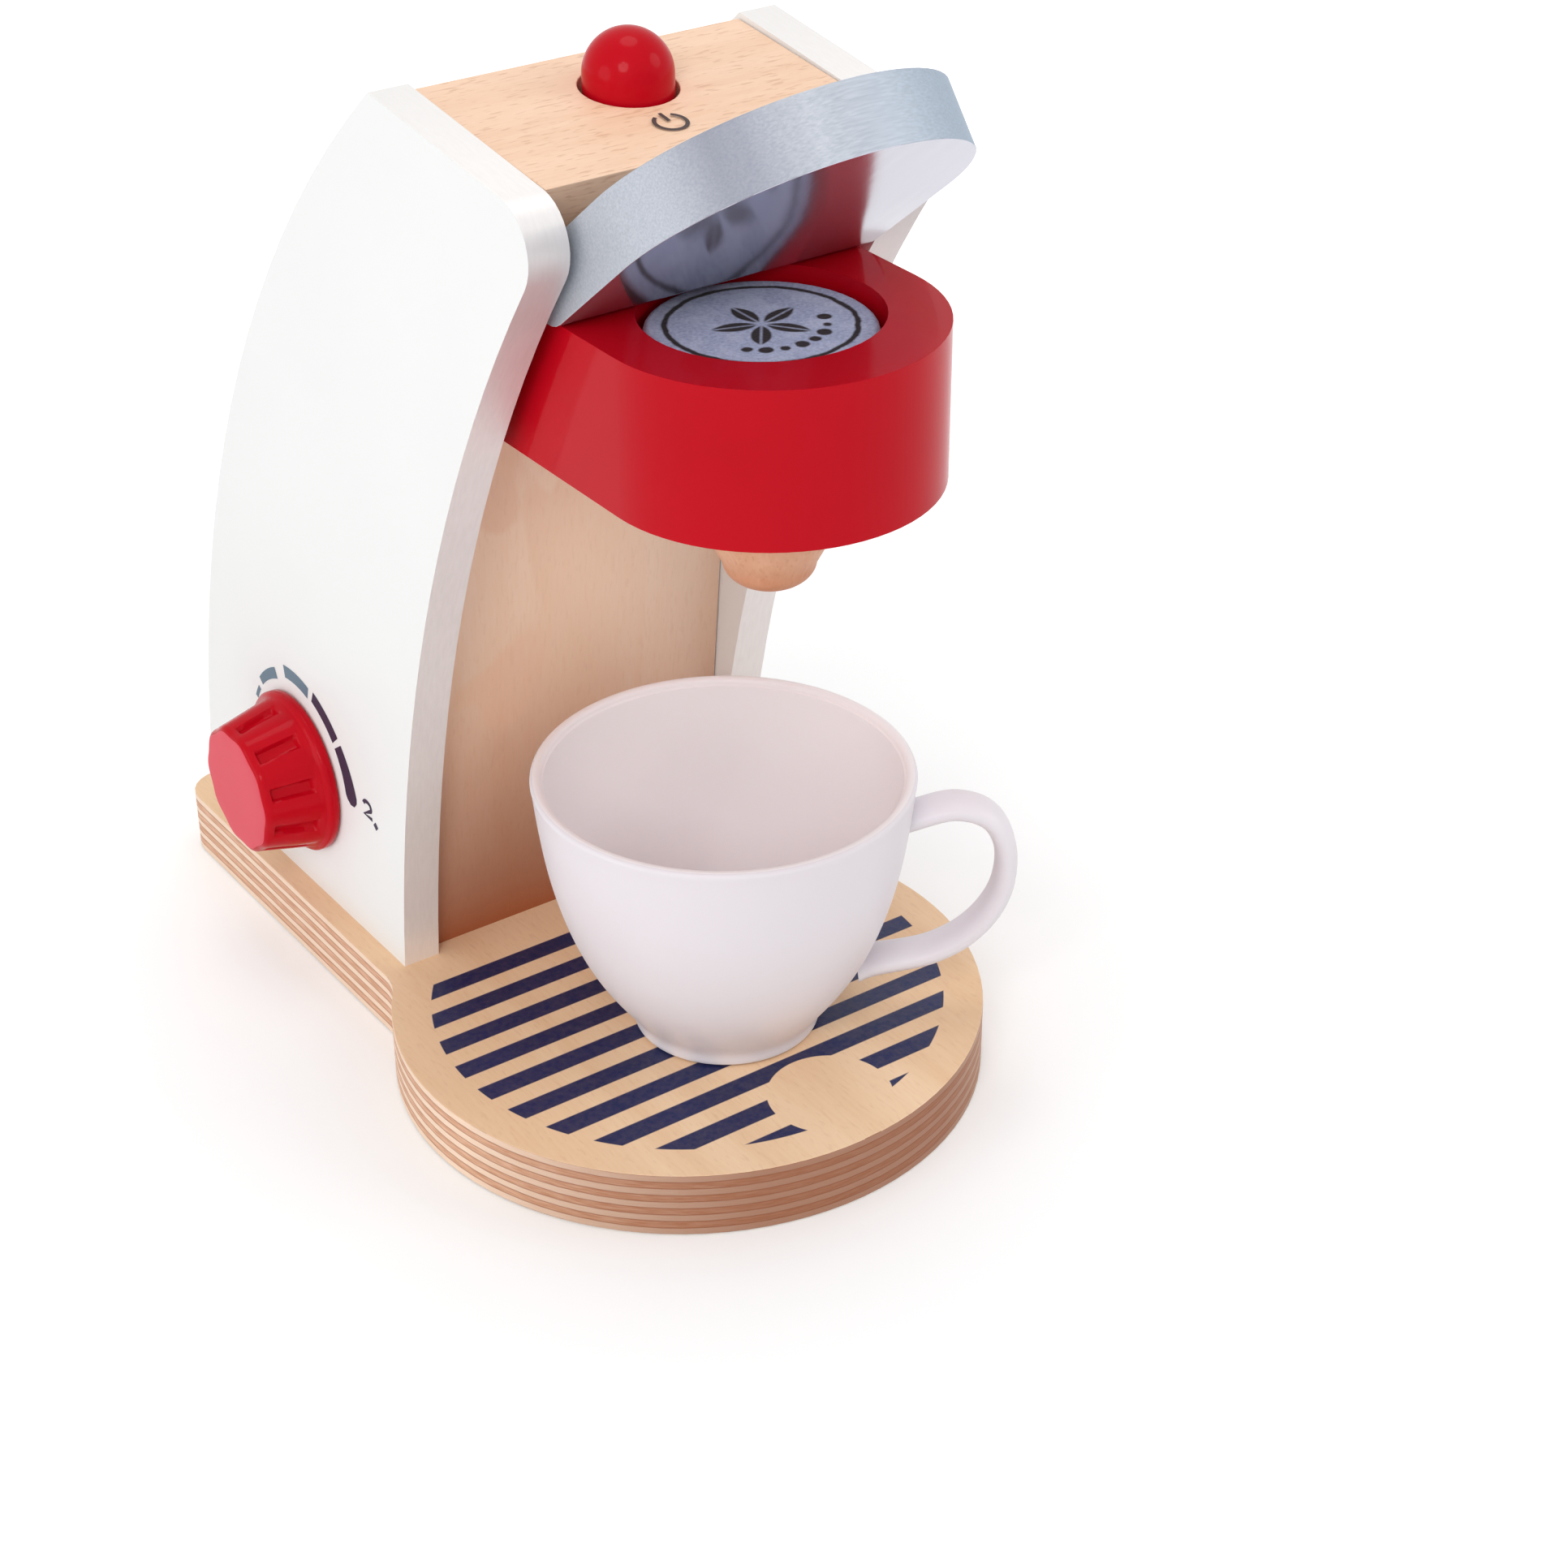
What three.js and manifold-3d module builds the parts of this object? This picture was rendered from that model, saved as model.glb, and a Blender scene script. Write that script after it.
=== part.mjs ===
// Wooden toy coffee maker with a lidded brew head, a push button, a dial, a capsule and a cup.
// Millimetres, +Z up, the front faces -Y. The origin is the centre of the round end, on the underside.
import * as THREE from 'three';
import { mergeVertices } from 'three/addons/utils/BufferGeometryUtils.js';
import Module from 'manifold-3d';

const wasm = await Module();
wasm.setup();

// Driving dimensions

const clearance = 0.3;          // gap between touching pieces
const overrun = 2;              // how far a cutting shape passes a face
const weldTolerance = 1e-5;     // points closer than this are one point

const baseRadius = 60;
const baseThickness = 14;
const baseMargin = 4.8;         // how far the narrow part of the base passes the panels
const baseRear = 134;
const baseCorner = 8;
const neckRadius = 12;

const bodyWidth = 85.4;
const panelThickness = 8;
const panelFrontFoot = 40.8;
const panelFrontTop = -15.4;
const panelFrontDrop = 27.3;    // from the highest point of the top down to the front corner
const panelFrontHollow = 11;
const panelRearFoot = 128;
const panelRearBow = 22;
const panelCorner = 8.8;
const topRear = 29;
const topRearHeight = 202.3;
const topSlope = 0.1346;

const boardThickness = 8;
const boardFrontFoot = 44;
const boardLean = 0.097;
const coverThickness = 4;
const coverInset = 1;

const headSideGap = 3.4;        // between the head and each panel
const headCentre = -29.2;
const headDrop = 31.3;          // from the highest point of the top down to the head's top
const headHeight = 29.3;
const recessRadius = 21.6;
const recessSetback = 2.2;      // the recess lies this far behind the centre of the head's round front
const recessDepth = 8.2;

const capsuleRadius = 20.4;
const capsuleThickness = 5.5;
const capsuleBevel = 0.8;

const spoutRadius = 14;
const spoutHeight = 22;
const spoutTipRadius = 8.5;
const spoutTipHeight = 5;
const spoutTenonRadius = 5;
const spoutTenonLength = 10;

const lidSideGap = 1.7;         // between the lid and each panel
const lidThickness = 12.3;
const lidReach = 25.9;
const lidPivotY = -11.5;
const lidGap = 0.15;            // between the closed lid and the head
const lidRestAngle = 39;
const lidOpenAngle = 60;
const stopClearance = 0.4;
const pinRadius = 1.6;
const pinInPanel = 5;
const pinInLid = 10;

const buttonRadius = 8.2;
const buttonRise = 1.7;
const buttonBoreRadius = 9;
const boreFloorThickness = 6.425;
const springSpace = 9;          // from the floor of the bore up to the button
const buttonCentre = 13;
const buttonStemRadius = 3;
const stemProud = 0.975;        // how far the stem passes its washer
const retainerRadius = 6;
const retainerThickness = 1.8;
const springRadius = 5.2;
const springWire = 0.9;
const springTurns = 5;

const knobRadius = 16.5;
const knobFaceRadius = 14;
const knobCollarRadius = 17.5;
const knobCollar = 2.5;
const knobLength = 15;
const knobFillet = 1.6;
const knobSlots = 10;
const slotWidth = 2.4;
const slotDepth = 1.3;
const slotLength = 8;
const knobY = 81;
const knobZ = 42;
const axleRadius = 3;
const axleInKnob = 9;
const axleInside = 5;
const washerRadius = 7;
const washerThickness = 1.5;

const cupRimRadius = 37.2;
const cupHeight = 57;
const cupFootRadius = 18.5;
const cupWall = 2.2;
const cupX = 2;
const cupY = -11;
const handleAngle = 33;
const handleThickness = 4.4;
const handleWidth = 9;

const screwRadius = 1.7;
const screwHeadRadius = 3.6;
const screwHeadHeight = 2.2;
const screwLength = 30;
const screwSink = 0.8;
const screwFrontSetback = 16;
const screwRearSetback = 18;
const headScrewSpread = 15;
const headScrewLength = 26;
const dowelRadius = 3;
const dowelInPanel = 5;
const dowelInBlock = 9;
const dowelY = 26;
const dowelDrop = 11;

// Sizes worked out from the driving dimensions

const outerX = bodyWidth / 2;
const innerX = outerX - panelThickness;
const fittedX = innerX - clearance;
const baseHalfWidth = outerX + baseMargin;
const panelFrontTopHeight = topRearHeight - panelFrontDrop;
const headTop = topRearHeight - headDrop;
const headBottom = headTop - headHeight;
const headRadius = innerX - headSideGap;
const headScrewHeight = headTop - headHeight / 2;
const recessCentre = headCentre + recessSetback;
const lidHalfWidth = innerX - lidSideGap;
const lidPivotZ = headTop + lidGap + lidThickness / 2;
const restTurn = THREE.MathUtils.degToRad(lidRestAngle);
const openTurn = THREE.MathUtils.degToRad(lidOpenAngle);

function topHeight(y) {
  return topRearHeight + topSlope * (y - topRear);
}

function boardFront(z) {
  return boardFrontFoot - boardLean * (z - baseThickness);
}

// Materials, one for each finish

function finish(colour, roughness, metalness = 0) {
  return new THREE.MeshStandardMaterial({ color: colour, roughness, metalness });
}

const plywood = finish(0xe8c49a, 0.55);
const beech = finish(0xe6bd94, 0.5);
const whitePaint = finish(0xf6f6f4, 0.35);
const redPaint = finish(0xcc1226, 0.2);
const silverPaint = finish(0xb4bcc4, 0.35, 0.6);
const steel = finish(0xa8aaac, 0.3, 1);
const capsuleFelt = finish(0xa3acca, 0.9);
const cupPlastic = finish(0xe2dbdb, 0.5);

// Joining and cutting

function toSolid(geometry) {
  const plain = geometry.index ? geometry.toNonIndexed() : geometry.clone();
  plain.deleteAttribute('normal');
  plain.deleteAttribute('uv');
  const merged = mergeVertices(plain, weldTolerance);
  return new wasm.Manifold(new wasm.Mesh({
    numProp: 3,
    vertProperties: new Float32Array(merged.attributes.position.array),
    triVerts: new Uint32Array(merged.index.array),
  }));
}

function toGeometry(solid) {
  const mesh = solid.getMesh();
  const geometry = new THREE.BufferGeometry();
  geometry.setAttribute('position', new THREE.BufferAttribute(mesh.vertProperties, 3));
  geometry.setIndex(new THREE.BufferAttribute(mesh.triVerts, 1));
  geometry.computeVertexNormals();
  return geometry;
}

function cut(geometry, ...tools) {
  return toGeometry(tools.reduce((solid, tool) => solid.subtract(toSolid(tool)), toSolid(geometry)));
}

function join(first, second) {
  return toGeometry(toSolid(first).add(toSolid(second)));
}

function common(first, second) {
  return toGeometry(toSolid(first).intersect(toSolid(second)));
}

// Shapes: a plan lies flat and rises along Z, a profile is drawn in Y and Z and runs along X

function plan(points, bottom, top) {
  const shape = new THREE.Shape(points);
  const geometry = new THREE.ExtrudeGeometry(shape, { depth: top - bottom, bevelEnabled: false });
  return geometry.translate(0, 0, bottom);
}

const alongX = new THREE.Matrix4().makeBasis(
  new THREE.Vector3(0, 1, 0), new THREE.Vector3(0, 0, 1), new THREE.Vector3(1, 0, 0));

function profile(points, fromX, toX) {
  const shape = new THREE.Shape(points);
  const geometry = new THREE.ExtrudeGeometry(shape, { depth: toX - fromX, bevelEnabled: false });
  return geometry.translate(0, 0, fromX).applyMatrix4(alongX);
}

function yz(y, z) {
  return new THREE.Vector2(y, z);
}

function rodX(radius, fromX, toX, y, z, sides = 24) {
  const geometry = new THREE.CylinderGeometry(radius, radius, toX - fromX, sides);
  return geometry.rotateZ(Math.PI / 2).translate((fromX + toX) / 2, y, z);
}

function rodZ(radius, bottom, top, x, y, sides = 24) {
  const geometry = new THREE.CylinderGeometry(radius, radius, top - bottom, sides);
  return geometry.rotateX(Math.PI / 2).translate(x, y, (bottom + top) / 2);
}

function turned(points, sides) {
  const outline = points.map(([radius, height]) => yz(radius, height));
  return new THREE.LatheGeometry(outline, sides).rotateX(Math.PI / 2);
}

function ring(innerRadius, outerRadius, height, sides) {
  return turned([
    [innerRadius, 0], [outerRadius, 0], [outerRadius, height], [innerRadius, height], [innerRadius, 0],
  ], sides);
}

// A bow is the arc through two points whose middle stands off the chord, to the left when rise is positive

function bow(start, end, rise) {
  const chord = end.clone().sub(start);
  const half = chord.length() / 2;
  const radius = (half * half + rise * rise) / (2 * rise);
  const side = yz(-chord.y, chord.x).normalize();
  const centre = start.clone().lerp(end, 1 / 2).addScaledVector(side, rise - radius);
  return { centre, radius: Math.abs(radius) };
}

function sweep(centre, radius, from, to, steps) {
  const points = [];
  for (let i = 0; i <= steps; i += 1) {
    const angle = from + (to - from) * i / steps;
    points.push(yz(centre.x + radius * Math.cos(angle), centre.y + radius * Math.sin(angle)));
  }
  return points;
}

function bearing(centre, point) {
  return Math.atan2(point.y - centre.y, point.x - centre.x);
}

function arcPoints(centre, radius, start, end, steps) {
  return sweep(centre, radius, bearing(centre, start), bearing(centre, end), steps);
}

function atHeight(arc, radius, z) {
  return yz(arc.centre.x + Math.sqrt(radius * radius - (z - arc.centre.y) ** 2), z);
}

// Side view of the panels

const frontFoot = yz(panelFrontFoot, baseThickness);
const frontTop = yz(panelFrontTop, panelFrontTopHeight);
const rearFoot = yz(panelRearFoot, baseThickness);
const rearTop = yz(topRear, topRearHeight);
const frontArc = bow(frontFoot, frontTop, -panelFrontHollow);
const rearArc = bow(rearFoot, rearTop, -panelRearBow);

function roundedCorner() {
  const slopeLength = Math.hypot(1, topSlope);
  const along = yz(1, topSlope).divideScalar(slopeLength);
  const down = yz(along.y, -along.x);
  const origin = rearTop.clone().addScaledVector(down, panelCorner);
  const offset = origin.clone().sub(frontArc.centre);
  const reach = frontArc.radius + panelCorner;
  const b = offset.dot(along);
  const travel = -b - Math.sqrt(b * b - offset.dot(offset) + reach * reach);
  const outer = -b + Math.sqrt(b * b - offset.dot(offset) + reach * reach);
  const centre = origin.clone().addScaledVector(along, Math.abs(travel) < Math.abs(outer) ? travel : outer);
  const onTop = centre.clone().addScaledVector(down, -panelCorner);
  const onFront = centre.clone().lerp(frontArc.centre, panelCorner / reach);
  return { centre, onTop, onFront };
}

function panelProfile() {
  const corner = roundedCorner();
  const topBearing = bearing(corner.centre, corner.onTop);
  const frontBearing = bearing(corner.centre, corner.onFront) + 2 * Math.PI;
  return [
    ...arcPoints(rearArc.centre, rearArc.radius, rearFoot, rearTop, 20),
    ...sweep(corner.centre, panelCorner, topBearing, frontBearing, 10),
    ...arcPoints(frontArc.centre, frontArc.radius, corner.onFront, frontFoot, 20).slice(1),
  ];
}

// Base screws: their places under each panel

const screwX = (outerX + innerX) / 2;
const screwFrontY = panelFrontFoot + screwFrontSetback;
const screwRearY = panelRearFoot - screwRearSetback;
const screwPlaces = [
  ['left_front', -screwX, screwFrontY],
  ['left_rear', -screwX, screwRearY],
  ['right_front', screwX, screwFrontY],
  ['right_rear', screwX, screwRearY],
];

function screw(length) {
  const tip = 2 * screwRadius;
  return turned([
    [0, 0], [screwHeadRadius, 0], [screwRadius, screwHeadHeight],
    [screwRadius, length - tip], [0, length],
  ], 16);
}

function screwHole(length) {
  const shaft = rodZ(screwRadius + clearance, 0, length + clearance, 0, 0, 16);
  const seat = turned([
    [0, -overrun], [screwHeadRadius + clearance, -overrun], [screwHeadRadius + clearance, clearance],
    [screwRadius + clearance, screwHeadHeight + clearance], [0, screwHeadHeight + clearance],
  ], 16);
  return join(shaft, seat);
}

function baseBoard() {
  const neckX = baseHalfWidth + neckRadius;
  const neckY = Math.sqrt((baseRadius + neckRadius) ** 2 - neckX ** 2);
  const neckAngle = Math.atan2(neckY, neckX);
  const cornerX = baseHalfWidth - baseCorner;
  const cornerY = baseRear - baseCorner;
  const quarter = Math.PI / 2;
  const outline = [
    ...sweep(yz(0, 0), baseRadius, Math.PI - neckAngle, 2 * Math.PI + neckAngle, 64),
    ...sweep(yz(neckX, neckY), neckRadius, Math.PI + neckAngle, Math.PI, 6).slice(1),
    ...sweep(yz(cornerX, cornerY), baseCorner, 0, quarter, 6),
    ...sweep(yz(-cornerX, cornerY), baseCorner, quarter, Math.PI, 6),
    ...sweep(yz(-neckX, neckY), neckRadius, 0, -neckAngle, 6).slice(0, -1),
  ];
  const holes = screwPlaces.map(([, x, y]) => screwHole(screwLength).translate(x, y, screwSink));
  return cut(plan(outline, 0, baseThickness), ...holes);
}

function sidePanel(side) {
  const inner = side * innerX;
  const outer = side * outerX;
  const blank = profile(panelProfile(), Math.min(inner, outer), Math.max(inner, outer));
  const screwHoles = screwPlaces
    .filter(([, x]) => Math.sign(x) === side)
    .map(([, x, y]) => screwHole(screwLength).translate(x, y, screwSink));
  const pinHole = blindFromInside(side, pinRadius, pinInPanel, lidPivotY, lidPivotZ);
  const dowelHole = blindFromInside(side, dowelRadius, dowelInPanel, dowelY, topHeight(dowelY) - dowelDrop);
  return cut(blank, ...screwHoles, pinHole, dowelHole);
}

function blindFromInside(side, radius, depth, y, z) {
  const mouth = side * (innerX - overrun);
  const end = side * (innerX + depth + clearance);
  return rodX(radius + clearance, Math.min(mouth, end), Math.max(mouth, end), y, z, 20);
}

// The stop face of the top block lies along the lid's upper face when the lid is fully open

const stopNormal = yz(Math.sin(openTurn), Math.cos(openTurn));
const stopAlong = yz(-Math.cos(openTurn), Math.sin(openTurn));
const stopFoot = yz(lidPivotY, lidPivotZ).addScaledVector(stopNormal, lidThickness / 2 + stopClearance);
const stopRun = (topHeight(stopFoot.x) - stopFoot.y) / (stopAlong.y - topSlope * stopAlong.x);
const stopHead = stopFoot.clone().addScaledVector(stopAlong, stopRun);
const blockBottom = stopFoot.y;
const buttonBoreFloor = blockBottom + boreFloorThickness;
const blockRearRadius = rearArc.radius - coverInset;

function topBlock() {
  const rearLow = atHeight(rearArc, blockRearRadius, blockBottom);
  const rearHigh = atHeight(rearArc, blockRearRadius, topRearHeight - coverInset);
  const points = [
    stopFoot,
    ...arcPoints(rearArc.centre, blockRearRadius, rearLow, rearHigh, 6),
    stopHead,
  ];
  const blank = profile(points, -fittedX, fittedX);
  const bore = rodZ(buttonBoreRadius, buttonBoreFloor, topRearHeight + overrun, 0, buttonCentre, 40);
  const stemHoleTop = buttonBoreFloor + overrun;
  const stemHole = rodZ(buttonStemRadius + clearance, blockBottom - overrun, stemHoleTop, 0, buttonCentre);
  const dowelZ = topHeight(dowelY) - dowelDrop;
  const dowelHoles = [-1, 1].map((side) => {
    const mouth = side * (fittedX + overrun);
    const end = side * (innerX - dowelInBlock - clearance);
    return rodX(dowelRadius + clearance, Math.min(mouth, end), Math.max(mouth, end), dowelY, dowelZ, 20);
  });
  return cut(blank, bore, stemHole, ...dowelHoles);
}

function dowel(side) {
  const ends = [side * (innerX - dowelInBlock), side * (innerX + dowelInPanel)];
  return rodX(dowelRadius, Math.min(...ends), Math.max(...ends), dowelY, topHeight(dowelY) - dowelDrop, 20);
}

const headScrewY = boardFront(headScrewHeight) + boardThickness - screwSink;

function headScrewHole(side) {
  const hole = screwHole(headScrewLength).rotateX(Math.PI / 2);
  return hole.translate(side * headScrewSpread, headScrewY, headScrewHeight);
}

function headScrew(side) {
  const body = screw(headScrewLength).rotateX(Math.PI / 2);
  return body.translate(side * headScrewSpread, headScrewY, headScrewHeight);
}

function frontBoard() {
  const bottom = baseThickness;
  const top = blockBottom - clearance;
  const blank = profile([
    yz(boardFront(bottom), bottom), yz(boardFront(bottom) + boardThickness, bottom),
    yz(boardFront(top) + boardThickness, top), yz(boardFront(top), top),
  ], -fittedX, fittedX);
  return cut(blank, headScrewHole(-1), headScrewHole(1));
}

function rearCover() {
  const outerRadius = rearArc.radius - coverInset;
  const innerRadius = outerRadius - coverThickness;
  const bottom = baseThickness;
  const top = blockBottom - clearance;
  const outside = arcPoints(rearArc.centre, outerRadius, atHeight(rearArc, outerRadius, bottom),
    atHeight(rearArc, outerRadius, top), 20);
  const inside = arcPoints(rearArc.centre, innerRadius, atHeight(rearArc, innerRadius, top),
    atHeight(rearArc, innerRadius, bottom), 20);
  return profile([...outside, ...inside], -fittedX, fittedX);
}

function brewHead() {
  const rear = boardFrontFoot;
  const outline = [
    ...sweep(yz(0, headCentre), headRadius, Math.PI, 2 * Math.PI, 36),
    yz(headRadius, rear),
    yz(-headRadius, rear),
  ];
  const front = headCentre - headRadius - overrun;
  const side = profile([
    yz(front, headBottom), yz(boardFront(headBottom) - clearance, headBottom),
    yz(boardFront(headTop) - clearance, headTop), yz(front, headTop),
  ], -innerX, innerX);
  const recess = rodZ(recessRadius, headTop - recessDepth, headTop + overrun, 0, recessCentre, 48);
  const tenonHoleTop = headBottom + spoutTenonLength + clearance;
  const tenonHole = rodZ(spoutTenonRadius + clearance, headBottom - overrun, tenonHoleTop, 0, headCentre, 24);
  const blank = common(plan(outline, headBottom - overrun, headTop + overrun), side);
  return cut(blank, recess, tenonHole, headScrewHole(-1), headScrewHole(1));
}

// The spout is turned: a tenon, a flat shoulder and a cone with a rounded tip

function spout() {
  const points = [
    [0, spoutTenonLength], [spoutTenonRadius, spoutTenonLength],
    [spoutTenonRadius, -clearance], [spoutRadius, -clearance],
  ];
  const steps = 6;
  for (let i = 0; i <= steps; i += 1) {
    const angle = i / steps * Math.PI / 2;
    const radius = i === steps ? 0 : spoutTipRadius * Math.cos(angle);
    points.push([radius, spoutTipHeight - spoutHeight - spoutTipHeight * Math.sin(angle)]);
  }
  return turned(points.reverse(), 32).translate(0, headCentre, headBottom);
}

// The lid is drawn closed, pointing to -Y from its pivot, and its group turns it open

function lid() {
  const half = lidThickness / 2;
  const outline = [
    ...sweep(yz(0, -lidReach), lidHalfWidth, Math.PI, 2 * Math.PI, 36),
    yz(lidHalfWidth, lidThickness),
    yz(-lidHalfWidth, lidThickness),
  ];
  const slab = plan(outline, -lidThickness, lidThickness);
  const front = -(lidReach + lidHalfWidth + overrun);
  const roundEnd = sweep(yz(0, 0), half, -Math.PI / 2, Math.PI / 2, 12);
  const side = profile([yz(front, -half), ...roundEnd, yz(front, half)], -innerX, innerX);
  const pinHoles = [-1, 1].map((hand) => {
    const ends = [hand * (lidHalfWidth - pinInLid - clearance), hand * (lidHalfWidth + overrun)];
    return rodX(pinRadius + clearance, Math.min(...ends), Math.max(...ends), 0, 0, 16);
  });
  return cut(common(slab, side), ...pinHoles);
}

function hingePin(side) {
  const ends = [side * (lidHalfWidth - pinInLid), side * (innerX + pinInPanel)];
  return rodX(pinRadius, Math.min(...ends), Math.max(...ends), lidPivotY, lidPivotZ, 16);
}

// The button: a dome on a short cylinder, with a stem that holds the retaining washer

const buttonDomeBase = topHeight(buttonCentre) + buttonRise;
const buttonSkirtBottom = buttonBoreFloor + springSpace;
const retainerBottom = blockBottom - clearance - retainerThickness;
const stemBottom = retainerBottom - stemProud;

function powerButton() {
  const points = [[0, stemBottom], [buttonStemRadius, stemBottom], [buttonStemRadius, buttonSkirtBottom],
    [buttonRadius, buttonSkirtBottom]];
  const steps = 8;
  for (let i = 0; i <= steps; i += 1) {
    const angle = i / steps * Math.PI / 2;
    const radius = i === steps ? 0 : buttonRadius * Math.cos(angle);
    points.push([radius, buttonDomeBase + buttonRadius * Math.sin(angle)]);
  }
  return turned(points, 32).translate(0, buttonCentre, 0);
}

function buttonRetainer() {
  const washer = ring(buttonStemRadius + clearance, retainerRadius, retainerThickness, 24);
  return washer.translate(0, buttonCentre, retainerBottom);
}

class Helix extends THREE.Curve {
  getPoint(t, target = new THREE.Vector3()) {
    const bottom = buttonBoreFloor + clearance + springWire / 2;
    const top = buttonSkirtBottom - clearance - springWire / 2;
    const angle = t * springTurns * 2 * Math.PI;
    const x = springRadius * Math.cos(angle);
    const y = buttonCentre + springRadius * Math.sin(angle);
    return target.set(x, y, bottom + (top - bottom) * t);
  }
}

function buttonSpring() {
  const section = new THREE.Shape();
  section.absarc(0, 0, springWire / 2, 0, 2 * Math.PI, false);
  return new THREE.ExtrudeGeometry(section, {
    steps: springTurns * 8, extrudePath: new Helix(), curveSegments: 3, bevelEnabled: false,
  });
}

// The dial knob: a tapered, slotted grip on a collar, turning on an axle through the left panel

function turnedAlongX(geometry) {
  return geometry.rotateY(-Math.PI / 2).translate(-(outerX + clearance), knobY, knobZ);
}

function dialKnob() {
  const steps = 3;
  const points = [[0, 0], [knobCollarRadius, 0], [knobCollarRadius, knobCollar], [knobRadius, knobCollar]];
  for (let i = 0; i <= steps; i += 1) {
    const angle = i / steps * Math.PI / 2;
    const inward = knobFillet * (1 - Math.cos(angle));
    const back = knobFillet * (1 - Math.sin(angle));
    points.push([knobFaceRadius - inward, knobLength - back]);
  }
  points.push([0, knobLength]);
  const slots = [];
  const middle = knobCollar + (knobLength - knobCollar) / 2;
  const middleRadius = (knobRadius + knobFaceRadius) / 2;
  const taper = Math.atan((knobRadius - knobFaceRadius) / (knobLength - knobCollar));
  for (let i = 0; i < knobSlots; i += 1) {
    const slot = new THREE.BoxGeometry(2 * slotDepth, slotWidth, slotLength).rotateY(-taper);
    const turn = (i + 1 / 2) / knobSlots * 2 * Math.PI;
    slots.push(slot.translate(middleRadius, 0, middle).rotateZ(turn));
  }
  const axleHole = rodZ(axleRadius + clearance, -overrun, axleInKnob + clearance, 0, 0, 20);
  return turnedAlongX(cut(turned(points, 30), ...slots, axleHole));
}

function dialAxle() {
  const outer = -(outerX + clearance + axleInKnob);
  return rodX(axleRadius, outer, -(innerX - clearance - axleInside), knobY, knobZ, 20);
}

function dialWasher() {
  const washer = ring(axleRadius + clearance, washerRadius, washerThickness, 24).rotateY(Math.PI / 2);
  return washer.translate(-(innerX - clearance), knobY, knobZ);
}

function leftPanel() {
  const axleHole = rodX(axleRadius + clearance, -(outerX + overrun), -(innerX - overrun), knobY, knobZ, 24);
  return cut(sidePanel(-1), axleHole);
}

function capsule() {
  const height = capsuleThickness;
  const bottom = headTop - recessDepth + clearance;
  const disc = turned([
    [0, 0], [capsuleRadius - capsuleBevel, 0], [capsuleRadius, capsuleBevel],
    [capsuleRadius, height - capsuleBevel], [capsuleRadius - capsuleBevel, height], [0, height],
  ], 40);
  return disc.translate(0, recessCentre, bottom);
}

// The cup: outline shares are (radius / rim radius, height / cup height), from the foot to the rim

const cupOutlineShares = [
  [0.497, 0], [0.505, 0.05], [0.58, 0.12], [0.665, 0.2], [0.745, 0.29], [0.82, 0.4],
  [0.885, 0.53], [0.935, 0.67], [0.972, 0.83], [1, 1],
];

// Handle shares are (distance from the axis / rim radius, height / cup height)

const handleShares = [
  [0.93, 0.8], [1.2, 0.835], [1.385, 0.79], [1.475, 0.66],
  [1.455, 0.49], [1.32, 0.345], [1.1, 0.25], [0.77, 0.205],
];

function cup() {
  const outlinePoints = cupOutlineShares.map(([r, z]) => yz(r * cupRimRadius, z * cupHeight));
  const outer = new THREE.SplineCurve(outlinePoints).getPoints(13);
  const closed = [[0, 0], ...outer.map((p) => [p.x, p.y]), [0, cupHeight]];
  const inner = outer.filter((p) => p.y > 2 * cupWall).map((p) => [p.x - cupWall, p.y + cupWall]);
  const hollow = [[0, 2 * cupWall], [cupFootRadius - cupWall, 2 * cupWall], ...inner, [0, inner.at(-1)[1]]];
  const path = new THREE.CatmullRomCurve3(
    handleShares.map(([r, z]) => new THREE.Vector3(r * cupRimRadius, 0, z * cupHeight)));
  const section = new THREE.Shape();
  section.absellipse(0, 0, handleWidth / 2, handleThickness / 2, 0, 2 * Math.PI, false);
  const handle = new THREE.ExtrudeGeometry(section, {
    steps: 18, extrudePath: path, curveSegments: 5, bevelEnabled: false,
  });
  const body = join(turned(closed, 44), handle);
  const whole = cut(body, turned(hollow, 44));
  const turn = THREE.MathUtils.degToRad(-handleAngle);
  return whole.rotateZ(turn).translate(cupX, cupY, baseThickness + clearance);
}

// The assembly

function piece(name, geometry, material) {
  const mesh = new THREE.Mesh(geometry, material);
  mesh.name = name;
  return mesh;
}

const lidGroup = new THREE.Group();
lidGroup.position.set(0, lidPivotY, lidPivotZ);
lidGroup.rotation.x = -restTurn;
lidGroup.add(piece('lid', lid(), silverPaint));

const coffeeMaker = new THREE.Group();
coffeeMaker.add(
  piece('base_board', baseBoard(), plywood),
  piece('left_side_panel', leftPanel(), whitePaint),
  piece('right_side_panel', sidePanel(1), whitePaint),
  piece('front_board', frontBoard(), beech),
  piece('rear_cover', rearCover(), beech),
  piece('top_block', topBlock(), beech),
  piece('brew_head', brewHead(), redPaint),
  piece('spout', spout(), beech),
  piece('power_button', powerButton(), redPaint),
  piece('button_retainer', buttonRetainer(), steel),
  piece('button_spring', buttonSpring(), steel),
  piece('dial_knob', dialKnob(), redPaint),
  piece('dial_axle', dialAxle(), beech),
  piece('dial_washer', dialWasher(), steel),
  piece('capsule', capsule(), capsuleFelt),
  piece('cup', cup(), cupPlastic),
  lidGroup,
);

for (const [name, side] of [['left', -1], ['right', 1]]) {
  coffeeMaker.add(
    piece(`hinge_pin_${name}`, hingePin(side), steel),
    piece(`top_dowel_${name}`, dowel(side), beech),
    piece(`head_screw_${name}`, headScrew(side), steel),
  );
}

for (const [name, x, y] of screwPlaces) {
  coffeeMaker.add(piece(`base_screw_${name}`, screw(screwLength).translate(x, y, screwSink), steel));
}

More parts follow.
